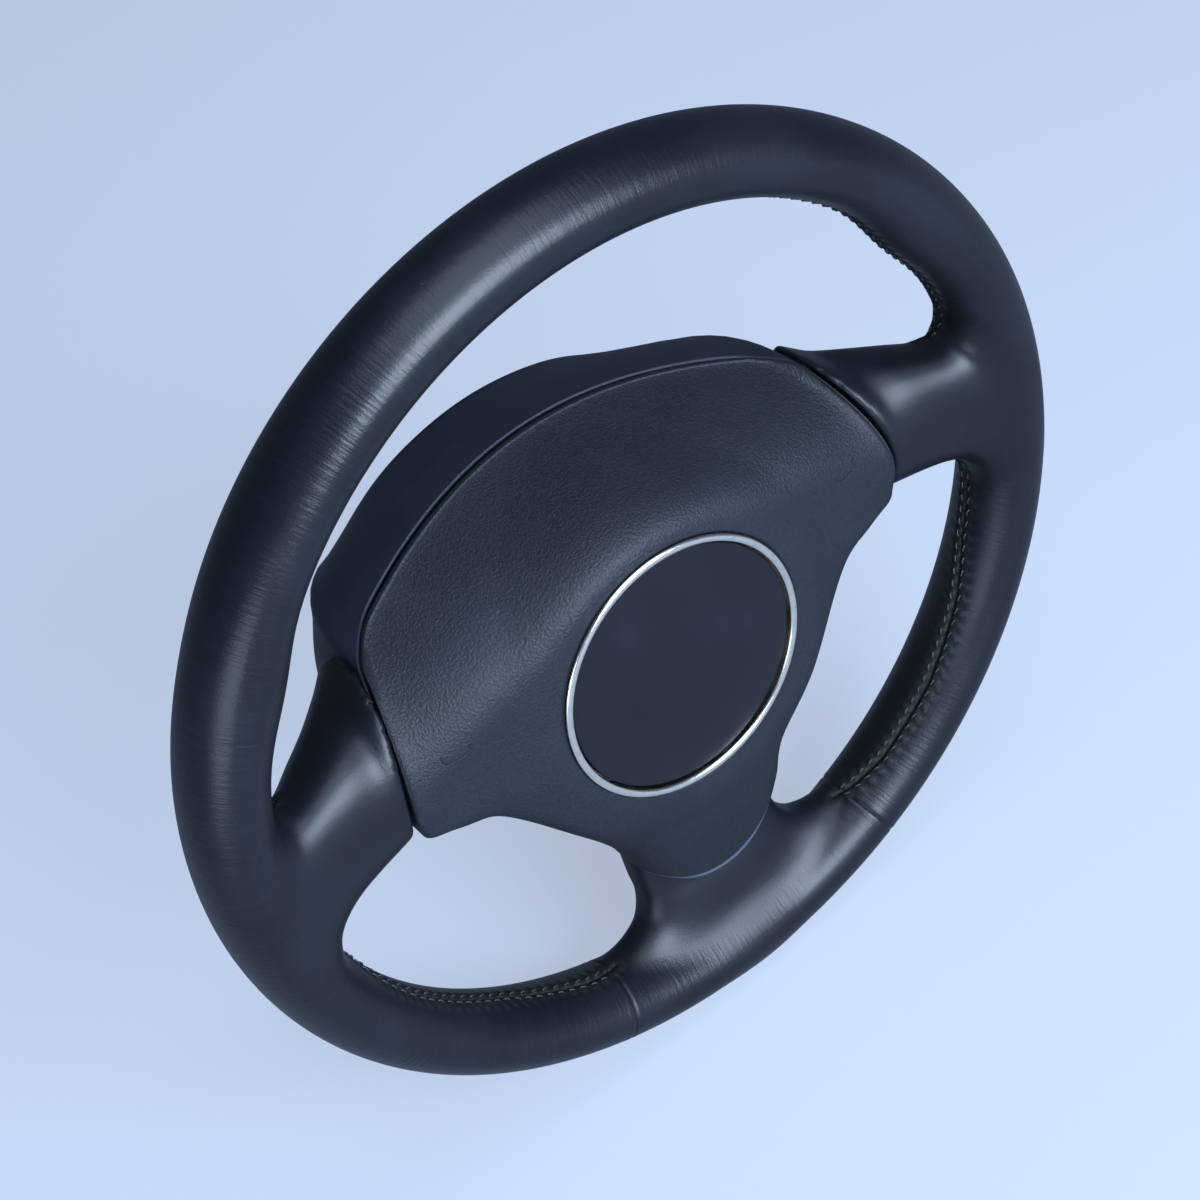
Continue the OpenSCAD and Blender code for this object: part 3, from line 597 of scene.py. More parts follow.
def cover_finish(cover):
    """Soft grained plastic with a fine pebble, a faint sheen on its high spots and a painted
    highlight along the lip's lower edge.
    """
    f = Finish("cover_grain")
    p = f.place()
    warped = f.add("ShaderNodeVectorMath", {"operation": "ADD"}, [p, f.add(
        "ShaderNodeTexNoise", {}, {"Vector": p, "Scale": 1 / 1.6, "Detail": 1.0}, "Color")])
    pebble = f.cells(warped, cover.grain, "SMOOTH_F1", 0.35)
    small = f.cells(warped, cover.grain * 0.45)
    haze = f.noise(p, 45.0, 3.0)
    dust = f.noise(p, 1.1, 1.0).ramp(0.80, 0.86) * f.noise(p, 16.0).ramp(0.5, 0.62)
    height = pebble * 0.7 + small * 0.3
    normal = f.relief(height, 0.26)
    base = f.mix(pebble.ramp(0.2, 0.7), tint(cover.colour, 1.15), tint(cover.colour, 0.8))
    base = f.mix(haze.ramp(0.45, 0.8) * 0.35, base, tint(cover.colour, 1.7))
    base = f.mix(dust * 0.5, base, (0.20, 0.21, 0.23))
    x, _, y = f.split(p)
    # Painted highlight: a light line along the rounded lower edge of the lip
    lip_painted_highlight = (y - lip_y(x)).ramp(1.7, 1.0) * y.ramp(-108, -111)
    base = f.mix(lip_painted_highlight, base, tint(cover.colour, 6.0))
    f.set(Base_Color=base, Roughness=0.47 + (haze - 0.5) * 0.12 + pebble * 0.1,
          Specular_IOR_Level=0.36, Normal=normal)
    return f.material


def smooth_plastic(name, colour, roughness, grain_size, grain_depth):
    """Moulded plastic with a very fine grain and hardly visible smudges."""
    f = Finish(name)
    p = f.place()
    smudge = f.noise(p, 22.0, 4.0)
    grain = f.noise(p, grain_size, 2.0)
    base = f.mix(smudge.ramp(0.45, 0.75) * 0.5, colour, tint(colour, 1.6))
    f.set(Base_Color=base, Roughness=roughness + (smudge - 0.5) * 0.16,
          Specular_IOR_Level=0.36, Normal=f.relief(grain, grain_depth))
    return f.material


def metal_finish(name, colour, roughness, brushed=0.0, scale=3.0):
    """Bare or plated metal with slight unevenness."""
    f = Finish(name)
    p = f.place()
    haze = f.noise(p, scale, 3.0)
    base = f.mix(haze.ramp(0.4, 0.8), colour, tint(colour, 0.82))
    f.set(Base_Color=base, Metallic=1.0, Roughness=roughness + (haze - 0.5) * 0.1 + brushed,
          Normal=f.relief(haze, 0.01 + brushed * 0.1))
    return f.material


def fabric_finish(name, colour):
    """Woven cloth in a plain weave."""
    f = Finish(name)
    p = f.place()
    x, y, z = f.split(p)
    weave = (x * 9.0).sine() * ((y + z) * 9.0).sine()
    f.set(Base_Color=f.mix(f.noise(p, 12.0), colour, tint(colour, 0.85)), Roughness=0.85,
          Normal=f.relief(weave, 0.1))
    return f.material


# Sewn seam

# Place before or behind the innermost line: degrees from six o'clock, mm
SEAM_SHIFT = ((-180, 0), (-130, 0), (-112, -2), (-100, -7), (-80, -7), (-66, 2), (-59, 3),
              (-42, -1), (-27, 1), (-14, -4), (14, -4), (30, 6), (43, 7), (56, 4), (65, -1),
              (74, -3), (82, -7), (100, -7), (112, -2), (130, 0), (180, 0))
# It shows from this radius outwards
SEAM_END = 141
SEAM_STEP = 0.65
# Openings: a point inside, first and last direction in degrees
OPENINGS = (((0, 92), -24, 204), ((88, -72), -112, 76), ((-88, -72), 104, 292))
SEAM_REACH = 170
# A line breaks at a longer jump
SEAM_JUMP = 5


def seam_shift(points):
    """Front or back shift of the seam; on the spokes it runs along their back."""
    table = np.array(SEAM_SHIFT, float)
    r = np.hypot(points[:, 0], points[:, 1])
    shift = np.interp(np.degrees(sector_angle(points)), table[:, 0], table[:, 1])
    return shift - 13 * ease((156 - r) / 22)


def seam_paths(form):
    """Lines of the sewn seam along the inner side of the three openings, in wheel mm."""
    heights = np.linspace(-9, 9, 25)
    paths = []
    for (cx, cy), first, last in OPENINGS:
        turn = np.radians(np.arange(first, last, 0.5))
        reach = np.arange(4, SEAM_REACH + 5, 1.0)
        dx, dy = np.cos(turn)[:, None, None], np.sin(turn)[:, None, None]
        r = reach[None, None, :]
        value = form(cx + dx * r, cy + dy * r, heights[None, :, None] + 0 * r + 0 * dx)
        hit = value < 0
        step = np.clip(hit.argmax(2), 1, len(reach) - 1)
        before = np.take_along_axis(value, (step - 1)[..., None], 2)[..., 0]
        after = np.take_along_axis(value, step[..., None], 2)[..., 0]
        length = reach[step - 1] + before / np.maximum(before - after, 1e-6)
        length[~hit.any(2)] = 1e3
        best = length.argmin(1)
        r = length.min(1)
        z = np.convolve(np.pad(heights[best], 6, mode="edge"), np.ones(13) / 13, "valid")
        p = np.stack([cx + np.cos(turn) * r, cy + np.sin(turn) * r, z], 1)[r < SEAM_REACH]
        p[:, 2] += seam_shift(p)
        p = form.settle(p, 14)
        jump = np.linalg.norm(np.diff(p, axis=0), axis=1)
        cuts = np.concatenate([[0], np.flatnonzero(jump > SEAM_JUMP) + 1, [len(p)]])
        run = max((p[a:b] for a, b in zip(cuts[:-1], cuts[1:])), key=len)
        away = np.hypot(run[:, 0], run[:, 1]) > SEAM_END
        paths.append(form.settle(even_path(run[away], SEAM_STEP)))
    return paths


def lengths_along(points):
    return np.concatenate([[0], np.cumsum(np.linalg.norm(np.diff(points, axis=0), axis=1))])


def even_path(points, step):
    """The same line in even steps."""
    lengths = lengths_along(points)
    at = np.arange(0, lengths[-1], step)
    return np.stack([np.interp(at, lengths, points[:, i]) for i in range(3)], 1)


def path_tree(paths):
    points = np.vstack(paths)
    tree = KDTree(len(points))
    for i, p in enumerate(points):
        tree.insert(Vector(p), i)
    tree.balance()
    return tree


def sector_angle(points):
    """Angle from six o'clock, positive to the right."""
    return np.arctan2(points[:, 0], -points[:, 1])


class WHEEL_OT_leather(bpy.types.Operator):
    """Wraps the rim and the spokes in two pieces of leather with their cross seams"""
    bl_idname = "wheel.leather"
    bl_label = "Leather"

    FOAM_INSET = 1.7
    FOAM_STEP = 3.6
    # Faces this near to the sewn seam are halved
    FINE_WITHIN = 9.0
    # Edge loops beside a cross seam; least radius and half width of the faces they cut
    CROSS_LOOPS = (0.0, -0.7, 0.7, -1.6, 1.6, -3.0, 3.0)
    CROSS_FROM = 120
    CROSS_BAND = 12

    def execute(self, context):
        leather = context.scene.wheel_leather
        form = WheelForm(leather)
        reach = leather.rim_d / 2 + 3
        points, faces = self.skin(form, reach, leather.voxel)
        seam = math.radians(leather.seam_angle)
        bm = bmesh.new()
        verts = [bm.verts.new(p) for p in points]
        for f in faces:
            bm.faces.new([verts[i] for i in f])
        paths = seam_paths(form)
        self.refine(bm, path_tree(paths))
        for side, offset in product((-1, 1), self.CROSS_LOOPS):
            self.cut(bm, side * seam, offset)
        points = form.settle(np.array([v.co[:] for v in bm.verts]))
        for v, p in zip(bm.verts, points):
            v.co = p
        self.dress(bm, form, paths, leather, seam)
        self.foam(leather, reach)
        return {"FINISHED"}

    def skin(self, form, reach, step):
        low, high = (-reach, -reach, GRID_BACK), (reach, reach, GRID_FRONT)
        points, faces = surface_net(form, low, high, step)
        return form.settle(points), faces

    def foam(self, leather, reach):
        points, faces = self.skin(WheelForm(leather, self.FOAM_INSET), reach, self.FOAM_STEP)
        foam = smooth_plastic("moulded_foam", (0.02, 0.02, 0.022), 0.8, 0.9, 0.2)
        made = mesh_object("foam_core", upright(points), faces, WHEEL, foam)
        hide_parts("rim_foam")

    def refine(self, bm, tree):
        """Smaller faces beside the sewn seam."""
        near = [f for f in bm.faces if tree.find(f.calc_center_median())[2] < self.FINE_WITHIN]
        edges = list({e for f in near for e in f.edges})
        bmesh.ops.subdivide_edges(bm, edges=edges, cuts=1, use_grid_fill=True)

    def cut(self, bm, angle, offset):
        """An edge loop across the rim beside a cross seam."""
        along = Vector((math.sin(angle), -math.cos(angle), 0))
        normal = Vector((along.y, -along.x, 0))
        band = [f for f in bm.faces
                if f.calc_center_median().dot(along) > self.CROSS_FROM
                and abs(f.calc_center_median().dot(normal)) < self.CROSS_BAND]
        verts, edges = {v for f in band for v in f.verts}, {e for f in band for e in f.edges}
        bmesh.ops.bisect_plane(bm, geom=[*verts, *edges, *band], dist=1e-4,
                               plane_co=normal * offset, plane_no=normal)

    def dress(self, bm, form, paths, leather, seam):
        """Lays the seams into the surface and splits the skin into its two pieces."""
        tree = path_tree(paths)
        lengths = np.concatenate([np.arange(len(p)) * SEAM_STEP for p in paths])
        p = np.array([v.co[:] for v in bm.verts])
        _, n = form.normal(p)
        found = [tree.find(v.co) for v in bm.verts]
        along = lengths[[f[1] for f in found]]
        away = np.array([f[2] for f in found])
        angle = sector_angle(p)
        r = np.hypot(p[:, 0], p[:, 1])
        cross = np.maximum(r, 60) * (np.abs(angle) - seam)
        wave = np.cos(2 * math.pi * along / leather.stitch_pitch)
        ends = ease((r - SEAM_END) / 8)
        push = -0.9 * np.exp(-(away / 1.1) ** 2)
        push += (0.10 + 0.30 * wave) * np.exp(-((away - 3.2) / 1.6) ** 2)
        push *= ends
        push -= 0.28 * np.exp(-(cross / 0.6) ** 2)
        push += 0.10 * np.exp(-((np.abs(cross) - 1.7) / 0.9) ** 2)
        p = p + n * push[:, None]
        ring = np.arctan2(p[:, 1], np.abs(p[:, 0])) * form.core
        section = np.arctan2(p[:, 2], r - form.core) * GRIP_R
        on_rim = 1 - ease((form.rim(p[:, 0], p[:, 1], p[:, 2]) - 0.5) / 2.5)
        wear = on_rim * ease(0.5 + p[:, 2] / 30) * (0.45 + 0.55 * ease(0.5 - p[:, 0] / 300))
        for v, place in zip(bm.verts, upright(p)):
            v.co = place
        lower = np.abs(angle) < seam
        bm.verts.ensure_lookup_table()
        layers = {"seam_along": along, "seam_away": away, "cross_seam": cross, "on_rim": on_rim,
                  "ring_along": ring, "ring_across": section, "wear": wear}
        for name, values in layers.items():
            layer = bm.verts.layers.float.new(name)
            for v, value in zip(bm.verts, values):
                v[layer] = float(value)
        whole = bpy.data.meshes.new("leather")
        for f in bm.faces:
            f.smooth = True
            f.material_index = int(np.mean([lower[v.index] for v in f.verts]) > 0.5)
        bm.to_mesh(whole)
        bm.free()
        material = leather_finish(leather)
        for index, name in enumerate(("leather_upper", "leather_lower")):
            self.piece(whole, index, name, material)
        bpy.data.meshes.remove(whole)

    def piece(self, whole, index, name, material):
        bm = bmesh.new()
        bm.from_mesh(whole)
        others = [f for f in bm.faces if f.material_index != index]
        bmesh.ops.delete(bm, geom=others, context="FACES")
        for f in bm.faces:
            f.material_index = 0
        mesh = bpy.data.meshes.new(name)
        bm.to_mesh(mesh)
        bm.free()
        made = add_piece(name, mesh, WHEEL, material)
        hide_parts("rim_" + name)


class WHEEL_OT_stitching(bpy.types.Operator):
    """Sews the leather along the inner side of the rim with two rows of short stitches"""
    bl_idname = "wheel.stitching"
    bl_label = "Stitching"

    # Distance of a row from the seam, length and slant of a stitch
    ROW = 1.95
    LENGTH = 2.7
    SLANT = 0.35
    THREAD_R = 0.36

    def execute(self, context):
        leather = context.scene.wheel_leather
        form = WheelForm(leather)
        material = thread_finish(leather)
        names = ("thread_upper", "thread_right", "thread_left")
        for name, path in zip(names, seam_paths(form)):
            points, faces = self.rows(form, path, leather.stitch_pitch)
            mesh_object(name, upright(points), faces, WHEEL, material)
        return {"FINISHED"}

    def rows(self, form, path, pitch):
        """Each stitch is a short slanting bow of thread with both its ends in the leather."""
        _, n = form.normal(path)
        ahead = np.gradient(path, axis=0)
        ahead /= np.linalg.norm(ahead, axis=1, keepdims=True)
        over = np.cross(ahead, n)
        bow = np.linspace(-1, 1, 6)
        skins = []
        for i, side in product(range(1, int((len(path) - 1) * SEAM_STEP / pitch)), (-1, 1)):
            at = int(round(i * pitch / SEAM_STEP))
            middle = path[at] + over[at] * side * self.ROW
            line = (middle + np.outer(bow * self.LENGTH / 2, ahead[at])
                    + np.outer(bow * side * self.SLANT, over[at])
                    + np.outer(0.30 - 0.65 * bow ** 4, n[at]))
            skins.append(tube(line, self.THREAD_R, 6))
        return merged(skins)


# Airbag cover

def top_y(x):
    u = x * x / 10000
    return 63.8 - 23.9 * u + 1.7 * u * u


def top_z(x):
    return -52 + 22.3 * x * x / 10000


def lip_y(x):
    return x * x * LIP_RISE + LIP_LOW


def half_outline():
    """Right half of the cover's outline from the top to the bottom: x, y, edge height, skirt."""
    top = [(x, top_y(x), top_z(x) + TOP_LIP / 2, TOP_LIP) for x in np.arange(0, 98, 6.5)]
    side = [(side_x(y), y, side_z(y), lerp(SKIRT_H, TOP_LIP, ease((y - 6) / 36)))
            for y in np.arange(43, -15, -3.0)]
    foot = -SKIRT_H - 0.4
    knots = [(side_x(-16.4), -16.4, 2.6), (101, -20.0, 1), (84, -28.6, -3.4), (60, -60, -6),
             (44.5, -86, -7), (37.5, -103, -8), (34.5, -110, -2.5)]
    arch = [(x, y, z, z - foot) for x, y, z in smooth_curve(knots, 10)[:-1]]
    lip = [(x, lip_y(x), 5.2 - 8 * (x / 34) ** 4, 3.0) for x in np.linspace(34, 0, 15)]
    return top[:-1] + side + arch + lip


def blurred(values, width):
    """Values along a closed line, smoothed over a window of an odd width."""
    kernel = np.hanning(width) / np.hanning(width).sum()
    return np.convolve(np.pad(values, width // 2, mode="wrap"), kernel, "valid")


def outward(line):
    """Direction away from the ring's middle at each point of the outline."""
    v = line[:, :2] + np.array([0, RING_DROP])
    v = v / np.linalg.norm(v, axis=1, keepdims=True)
    return np.hstack([v, np.zeros((len(v), 1))])


def even_outline(count):
    """The whole outline in even steps, closed."""
    half = np.array(half_outline())
    mirrored = half[-2:0:-1] * np.array([-1, 1, 1, 1])
    whole = np.vstack([half, mirrored, half[:1]])
    lengths = lengths_along(whole[:, :2])
    at = np.linspace(0, lengths[-1], count, endpoint=False)
    line = np.stack([np.interp(at, lengths, whole[:, i]) for i in range(4)], 1)
    line = 0.5 * line + 0.25 * (np.roll(line, 1, 0) + np.roll(line, -1, 0))
    for column in (2, 3):
        line[:, column] = blurred(line[:, column], 19)
    return line


def face_z(x, y):
    ax = np.minimum(np.abs(x), COVER_HALF_W)
    plane = RING_Z - math.tan(RING_LEAN) * (y + RING_DROP)
    dome = 6.5 * (ax / COVER_HALF_W) ** 1.3
    low = 16 * (np.maximum(0, -60 - y) / 71) ** 1.3
    return plane - dome - low


def cover_z(x, y):
    """Height of the cover's face, with the soft fold above the disc; it is level with the ring."""
    fold = 26 - 29 * x * x / 12100
    t = np.clip((y - fold) / np.maximum(top_y(x) - fold, 1), 0, 1)
    z = lerp(face_z(x, y), top_z(x), t ** 2.5)
    level = RING_Z - math.tan(RING_LEAN) * (y + RING_DROP) - 0.5
    away = np.hypot(x, y + RING_DROP) - RING_R
    return lerp(level, z, ease((away - 1) / 25))


def ring_place(x, y, z):
    """A point of the disc's own frame in wheel millimetres."""
    c, s = math.cos(RING_LEAN), math.sin(RING_LEAN)
    return (x, y * c + z * s - RING_DROP, RING_Z + z * c - y * s)


class WHEEL_OT_airbag_cover(bpy.types.Operator):
    """Moulds the grained airbag cover with its skirt and its two embossed horn marks"""
    bl_idname = "wheel.airbag_cover"
    bl_label = "Airbag cover"

    APERTURE = RING_R + BAND_W / 2 + 0.15
    ROWS = 44
    SKIN = 2.2
    # Rows crowd towards the edge; power of the rounding at the sides and at the lip
    SPREAD = 1.35
    SIDE_ROUND = 5
    LIP_ROUND = 2
    # Strokes of a horn mark: start, end, sag
    MARK = (((83.8, 11.2), (94.6, 11.2), 1.2), ((83.8, 11.2), (84.4, 13.2), 0.1),
            ((94.6, 11.2), (95.2, 14.2), 0.2))
    MARK_R = 0.36

    def execute(self, context):
        material = cover_finish(context.scene.wheel_cover)
        line = even_outline(560)
        away = outward(line)
        rows = self.outer_rows(line, away)
        inner = [row - away * self.SKIN * ease(2 * i / self.ROWS) - np.array([0, 0, self.SKIN])
                 for i, row in enumerate(rows)][:-6:3]
        edge = self.edge_rows(line, away, rows[-1])
        throat = [rows[0] - np.array([0, 0, 0.8 * i]) + away * 0.25 * i for i in (5, 3, 1)]
        points, faces = loft(throat + rows + edge + inner[::-1], True)
        made = mesh_object("cover_face", upright(points), faces, MODULE, material)
        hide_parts("airbag_cover")
        self.horn_marks(material)
        return {"FINISHED"}

    def outer_rows(self, line, away):
        inner = away[:, :2] * self.APERTURE - np.array([0, RING_DROP])
        power = lerp(self.SIDE_ROUND, self.LIP_ROUND, ease((-line[:, 1] - 50) / 50))
        rows = []
        for i in range(self.ROWS):
            s = i / (self.ROWS - 1)
            f = 1 - (1 - s) ** self.SPREAD
            x, y = (lerp(inner[:, k], line[:, k], f) for k in (0, 1))
            drop = 1 - np.sqrt(np.maximum(0, 1 - s ** power))
            rows.append(np.stack([x, y, lerp(cover_z(x, y), line[:, 2], drop)], 1))
        return rows

    def edge_rows(self, line, away, last):
        """Rounded edge, skirt and the return of the skirt's foot."""
        skirt = line[:, 3]
        rows = []
        for depth, back in ((0.25, 0.0), (0.6, 0.02), (1.0, 0.05)):
            move = -away * back
            move[:, 2] = -skirt * depth
            rows.append(last + move)
        foot = -away * COVER_WALL
        foot[:, 2] = -skirt
        rows.append(last + foot)
        return rows

    def horn_marks(self, material):
        """Two thin embossed bows, each with a short foot at its ends."""
        for side, name in ((1, "horn_mark_right"), (-1, "horn_mark_left")):
            bows = [tube(self.bow(side, *ends), self.MARK_R, 6) for ends in self.MARK]
            points, faces = merged(bows)
            mesh_object(name, upright(points), faces, MODULE, material)

    def bow(self, side, start, end, sag):
        """A thin line on the face between two points, hanging through by the sag."""
        t = np.linspace(0, 1, 14)
        x = lerp(start[0], end[0], t)
        y = lerp(start[1], end[1], t) - 4 * sag * (t - t * t)
        z = cover_z(x, y) - self.edge_drop(x, y) + 0.02
        return np.stack([side * x, y, z], 1)

    def edge_drop(self, x, y):
        """How far the rounding towards the side edge has sunk at a point of the face."""
        centre = np.array([0, -RING_DROP])
        v = np.stack([x, y], 1) - centre
        away = np.linalg.norm(v, axis=1)
        unit = v / away[:, None]
        edge = side_x(y) / unit[:, 0]
        f = (away - self.APERTURE) / (edge - self.APERTURE)
        s = 1 - (1 - f) ** (1 / self.SPREAD)
        drop = 1 - np.sqrt(np.maximum(0, 1 - s ** self.SIDE_ROUND))
        return (cover_z(x, y) - side_z(y)) * drop


class WHEEL_OT_disc(bpy.types.Operator):
    """Turns the plain domed disc and the polished ring round it"""
    bl_idname = "wheel.disc"
    bl_label = "Disc and trim ring"

    DISC_SIDES = 160
    RING_SIDES = 200
    FOOT = -3.9

    def execute(self, context):
        cover = context.scene.wheel_cover
        edge = RING_R - BAND_W / 2 - 0.75
        dome = [(edge * math.sin(a), -0.9 + 2.6 * (1 - math.sin(a) ** 2))
                for a in np.linspace(0.02, 1.42, 26)]
        rim = [(edge - 0.12, -1.0), (edge, -1.4), (edge, self.FOOT), (edge - 3, self.FOOT)]
        points, faces = lathe(dome + rim, self.DISC_SIDES, ring_place)
        faces.append(tuple(range(self.DISC_SIDES))[::-1])
        disc = smooth_plastic("disc_satin", cover.disc_colour, 0.36, 0.4, 0.01)
        made = mesh_object("centre_disc_face", upright(points), faces, MODULE, disc)
        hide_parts("centre_disc")
        bow = [(RING_R + BAND_W / 2 * math.cos(a), BAND_W / 2 * math.sin(a) * 0.7)
               for a in np.linspace(-0.5, math.pi + 0.5, 22)]
        foot = [(RING_R - 1.1, self.FOOT), (RING_R + 1.1, self.FOOT)]
        points, faces = lathe(bow + foot + bow[:1], self.RING_SIDES, ring_place)
        ring = metal_finish("ring_polish", cover.ring_colour, 0.24)
        made = mesh_object("trim_ring_band", upright(points), faces, MODULE, ring)
        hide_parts("trim_ring")
        return {"FINISHED"}


class WHEEL_OT_rear_cover(bpy.types.Operator):
    """Moulds the matt rear cover"""
    bl_idname = "wheel.rear_cover"
    bl_label = "Rear cover"

    DEPTH = 97.0
    WALL = 2.4
    ROUND = 6.0
    HOLE_R = 34.0
    # Highest front edge, gap to the cover's skirt
    FOOT = -13.4
    GAP = 2.3
    # Rows of the wall, rows of the rounding in degrees
    WALL_ROWS = (0, 0.01, 0.06, 0.15, 0.25, 0.35, 0.45, 0.55, 0.65, 0.75, 0.85, 0.93)
    ROUND_ROWS = (20, 40, 60, 78, 90)
    UNDER_LIP = 0.93

    def execute(self, context):
        cover = context.scene.wheel_cover
        outer = self.rings(0)
        inner = self.rings(self.WALL)
        points, faces = loft(inner[::-1] + outer, True)
        finish = smooth_plastic("rear_matt", cover.rear_colour, 0.55, 0.5, 0.05)
        made = mesh_object("rear_shell", upright(points), faces, WHEEL, finish)
        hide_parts("rear_cover")
        return {"FINISHED"}

    def rings(self, inset):
        """Closed loops from the front edge back to the hole for the column."""
        line = even_outline(400)
        low = LOW_END * math.cos(math.radians(LOW_STATIONS[0][1])) - COVER_GAP
        under = line[:, 1] < -low
        line[under, 0] *= self.UNDER_LIP
        line[under, 1] = -low
        front = np.minimum(self.FOOT, line[:, 2] - line[:, 3]) - self.GAP
        front[under] = self.FOOT - self.GAP
        v = outward(line)[:, :2]
        ax = np.abs(line[:, 0])
        reach = 6 + 6 * ease(ax / 60) + 14 * ease((ax - 58) / 32) + 6 * ease((ax - 70) / 20)
        power = 1.25 + 1.5 * ease((ax - 60) / 30)
        reach, power = blurred(reach, 63), blurred(power, 63)
        back = inset - self.DEPTH

        def loop(move, z):
            return np.column_stack([line[:, 0] - v[:, 0] * move, line[:, 1] - v[:, 1] * move,
                                    z + 0 * ax])

        rows = [loop(reach * w ** power + inset, lerp(front, back, w)) for w in self.WALL_ROWS]
        rows += [loop(reach + inset + self.ROUND * (1 - math.cos(a)),
                      back + self.ROUND * 0.9 * (1 - math.sin(a)))
                 for a in np.radians(self.ROUND_ROWS)]
        rows.append(np.column_stack([v * self.HOLE_R, back + 0 * ax]))
        return rows


class WHEEL_OT_hidden_parts(bpy.types.Operator):
    """Gives the frame, the hub, the airbag module and the fasteners their finishes"""
    bl_idname = "wheel.hidden_parts"
    bl_label = "Frame and module"

    def execute(self, context):
        cast = metal_finish("cast_metal", (0.50, 0.51, 0.52), 0.48, 0.05, 1.5)
        steel = metal_finish("turned_steel", (0.45, 0.46, 0.48), 0.32)
        sheet = metal_finish("plated_sheet", (0.40, 0.41, 0.42), 0.38, 0.02, 6.0)
        dark = metal_finish("dark_steel", (0.10, 0.10, 0.105), 0.42)
        zinc = metal_finish("zinc_plate", (0.55, 0.55, 0.54), 0.30)
        brass = metal_finish("contact_brass", (0.60, 0.44, 0.16), 0.30)
        plug = smooth_plastic("plug_plastic", (0.65, 0.38, 0.03), 0.4, 0.5, 0.02)
        bush = smooth_plastic("bush_plastic", (0.62, 0.60, 0.52), 0.4, 0.5, 0.02)
        cloth = fabric_finish("folded_cushion", (0.66, 0.64, 0.58))
        finishes = {
            "armature": cast, "hub_insert": steel, "rear_cover_screws": dark,
            "guide_bolts": zinc, "horn_springs": steel, "horn_contact_plates": brass,
            "disc_push_nuts": dark, "module_tray": sheet, "cover_rivets": zinc, "inflator": sheet,
            "inflator_plug": plug, "cushion_clamp": sheet, "clamp_nuts": zinc,
            "airbag_cushion": cloth, "guide_bushes": bush, "horn_contact_pins": brass}
        for name, material in finishes.items():
            node = frame["nodes"][name]
            node.data.materials.clear()
            node.data.materials.append(material)
        return {"FINISHED"}


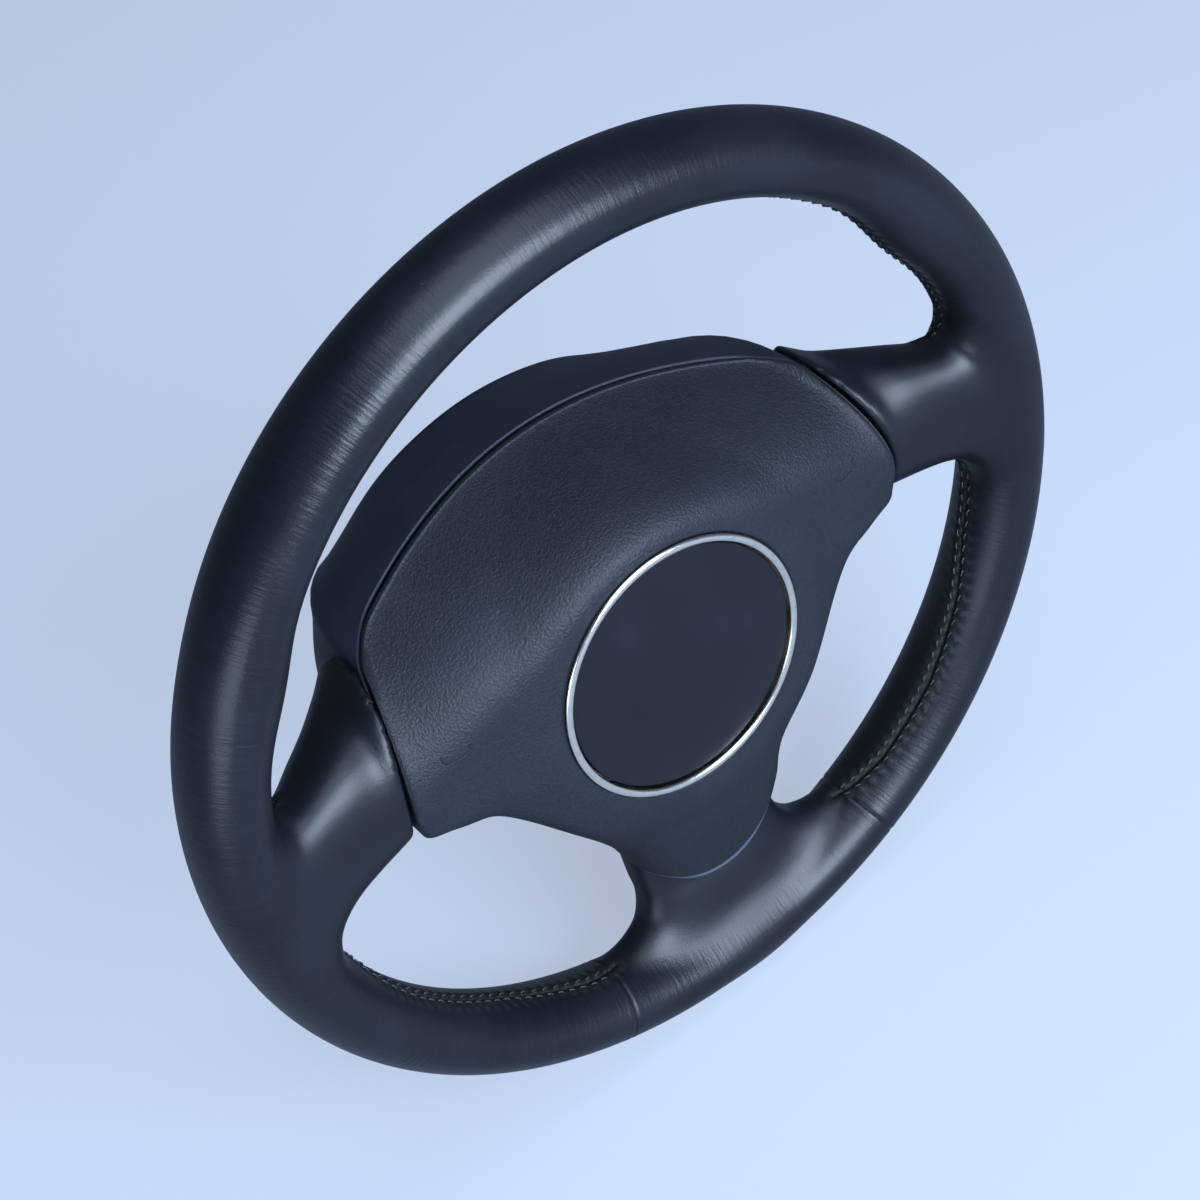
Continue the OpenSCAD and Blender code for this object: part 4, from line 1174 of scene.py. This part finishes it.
class WHEEL_OT_stage(bpy.types.Operator):
    """Sets the pale floor, the soft light and the camera"""
    bl_idname = "wheel.stage"
    bl_label = "Stage"

    # Camera as solved from the photograph
    LENS = 67.265
    CAMERA = (-0.26923, -0.60053, 0.54474)
    RIGHT = (0.76849, -0.59796, -0.22774)
    UP = (0.55191, 0.43936, 0.70878)
    # Floor: half width, tint, glow, part of the glow in reflections
    FLOOR_HALF = 3.0
    FLOOR_TINT = 0.3
    FLOOR_GLOW = 0.66
    FLOOR_SHINE = 0.28
    HORIZON = (0.42, 0.55, 0.82, 1)
    ZENITH = (0.07, 0.10, 0.22, 1)
    ZENITH_FROM = 0.75
    WORLD_STRENGTH = 0.22
    # Lamps: name, place, size, watts, colour; the point they shine at
    LAMPS = (("front", (0.18, -1.55, 0.78), 1.0, 61, (0.66, 0.81, 1.0)),
             ("left", (-1.1, -0.75, -0.02), 0.7, 8, (0.66, 0.81, 1.0)),
             ("top", (0.1, -0.5, 1.6), 1.2, 16, (0.66, 0.80, 1.0)))
    AIM = (0, -0.06, 0)

    def execute(self, context):
        self.camera(context)
        self.floor(context)
        self.lights(context)
        return {"FINISHED"}

    def camera(self, context):
        data = bpy.data.cameras.new("camera")
        data.lens = self.LENS
        data.sensor_width = 36
        data.clip_start = 0.05
        made = add_object("camera", data)
        right, up = Vector(self.RIGHT), Vector(self.UP)
        turn = Matrix((right, up, right.cross(up))).transposed().to_4x4()
        made.matrix_world = Matrix.Translation(self.CAMERA) @ turn
        context.scene.camera = made

    def floor(self, context):
        stage = context.scene.wheel_stage
        f = Finish("pale_floor")
        seen = f.add("ShaderNodeLightPath", {}, {}, "Is Camera Ray")
        seen = seen.most(f.add("ShaderNodeLightPath", {}, {}, "Is Glossy Ray") * self.FLOOR_SHINE)
        colour = tuple(stage.floor_colour)
        f.set(Base_Color=(*tint(colour, self.FLOOR_TINT), 1.0), Roughness=0.9,
              Emission_Color=f.mix(seen, (0.0, 0.0, 0.0), colour),
              Emission_Strength=self.FLOOR_GLOW)
        half, level = self.FLOOR_HALF, CAD_BOX[0].z
        points = [(x * half, y * half, level) for x, y in ((-1, -1), (1, -1), (1, 1), (-1, 1))]
        mesh = bpy.data.meshes.new("floor")
        mesh.from_pydata(points, [], [(0, 1, 2, 3)])
        mesh.materials.append(f.material)
        made = add_object("floor", mesh)

    def lights(self, context):
        world = bpy.data.worlds.new("studio")
        world.use_nodes = True
        tree = world.node_tree
        ground = tree.nodes["Background"]
        where, parts, ramp = (tree.nodes.new("ShaderNode" + kind)
                              for kind in ("TexCoord", "SeparateXYZ", "ValToRGB"))
        tree.links.new(where.outputs["Generated"], parts.inputs[0])
        tree.links.new(parts.outputs["Z"], ramp.inputs["Fac"])
        tree.links.new(ramp.outputs["Color"], ground.inputs["Color"])
        horizon, zenith = ramp.color_ramp.elements
        horizon.color, zenith.color = self.HORIZON, self.ZENITH
        zenith.position = self.ZENITH_FROM
        ground.inputs["Strength"].default_value = self.WORLD_STRENGTH
        context.scene.world = world
        for name, place, size, power, colour in self.LAMPS:
            data = bpy.data.lights.new(name, "AREA")
            data.size = size
            data.energy = power
            data.color = colour
            made = add_object(name, data)
            made.location = place
            aim = Vector(self.AIM) - Vector(place)
            made.rotation_euler = aim.to_track_quat("-Z", "Y").to_euler()


class WHEEL_PT_panel(bpy.types.Panel):
    """Lists the steps that dress the wheel"""
    bl_idname = "WHEEL_PT_panel"
    bl_label = "Steering wheel"
    bl_space_type = "VIEW_3D"
    bl_region_type = "UI"
    bl_category = "Wheel"

    def draw(self, context):
        for step in STEPS:
            self.layout.operator(step.bl_idname)


STEPS = (WHEEL_OT_stage, WHEEL_OT_leather, WHEEL_OT_stitching, WHEEL_OT_airbag_cover, WHEEL_OT_disc,
         WHEEL_OT_rear_cover, WHEEL_OT_hidden_parts)
CLASSES = (LeatherSettings, CoverSettings, StageSettings, *STEPS, WHEEL_PT_panel)


def register():
    for cls in CLASSES:
        bpy.utils.register_class(cls)
    bpy.types.Scene.wheel_leather = bpy.props.PointerProperty(type=LeatherSettings)
    bpy.types.Scene.wheel_cover = bpy.props.PointerProperty(type=CoverSettings)
    bpy.types.Scene.wheel_stage = bpy.props.PointerProperty(type=StageSettings)


def unregister():
    del bpy.types.Scene.wheel_stage
    del bpy.types.Scene.wheel_cover
    del bpy.types.Scene.wheel_leather
    for cls in reversed(CLASSES):
        bpy.utils.unregister_class(cls)


def main():
    register()
    bpy.context.scene.view_settings.view_transform = "Standard"
    for step in STEPS:
        group, name = step.bl_idname.split(".")
        getattr(getattr(bpy.ops, group), name)()


if __name__ == "__main__":
    main()
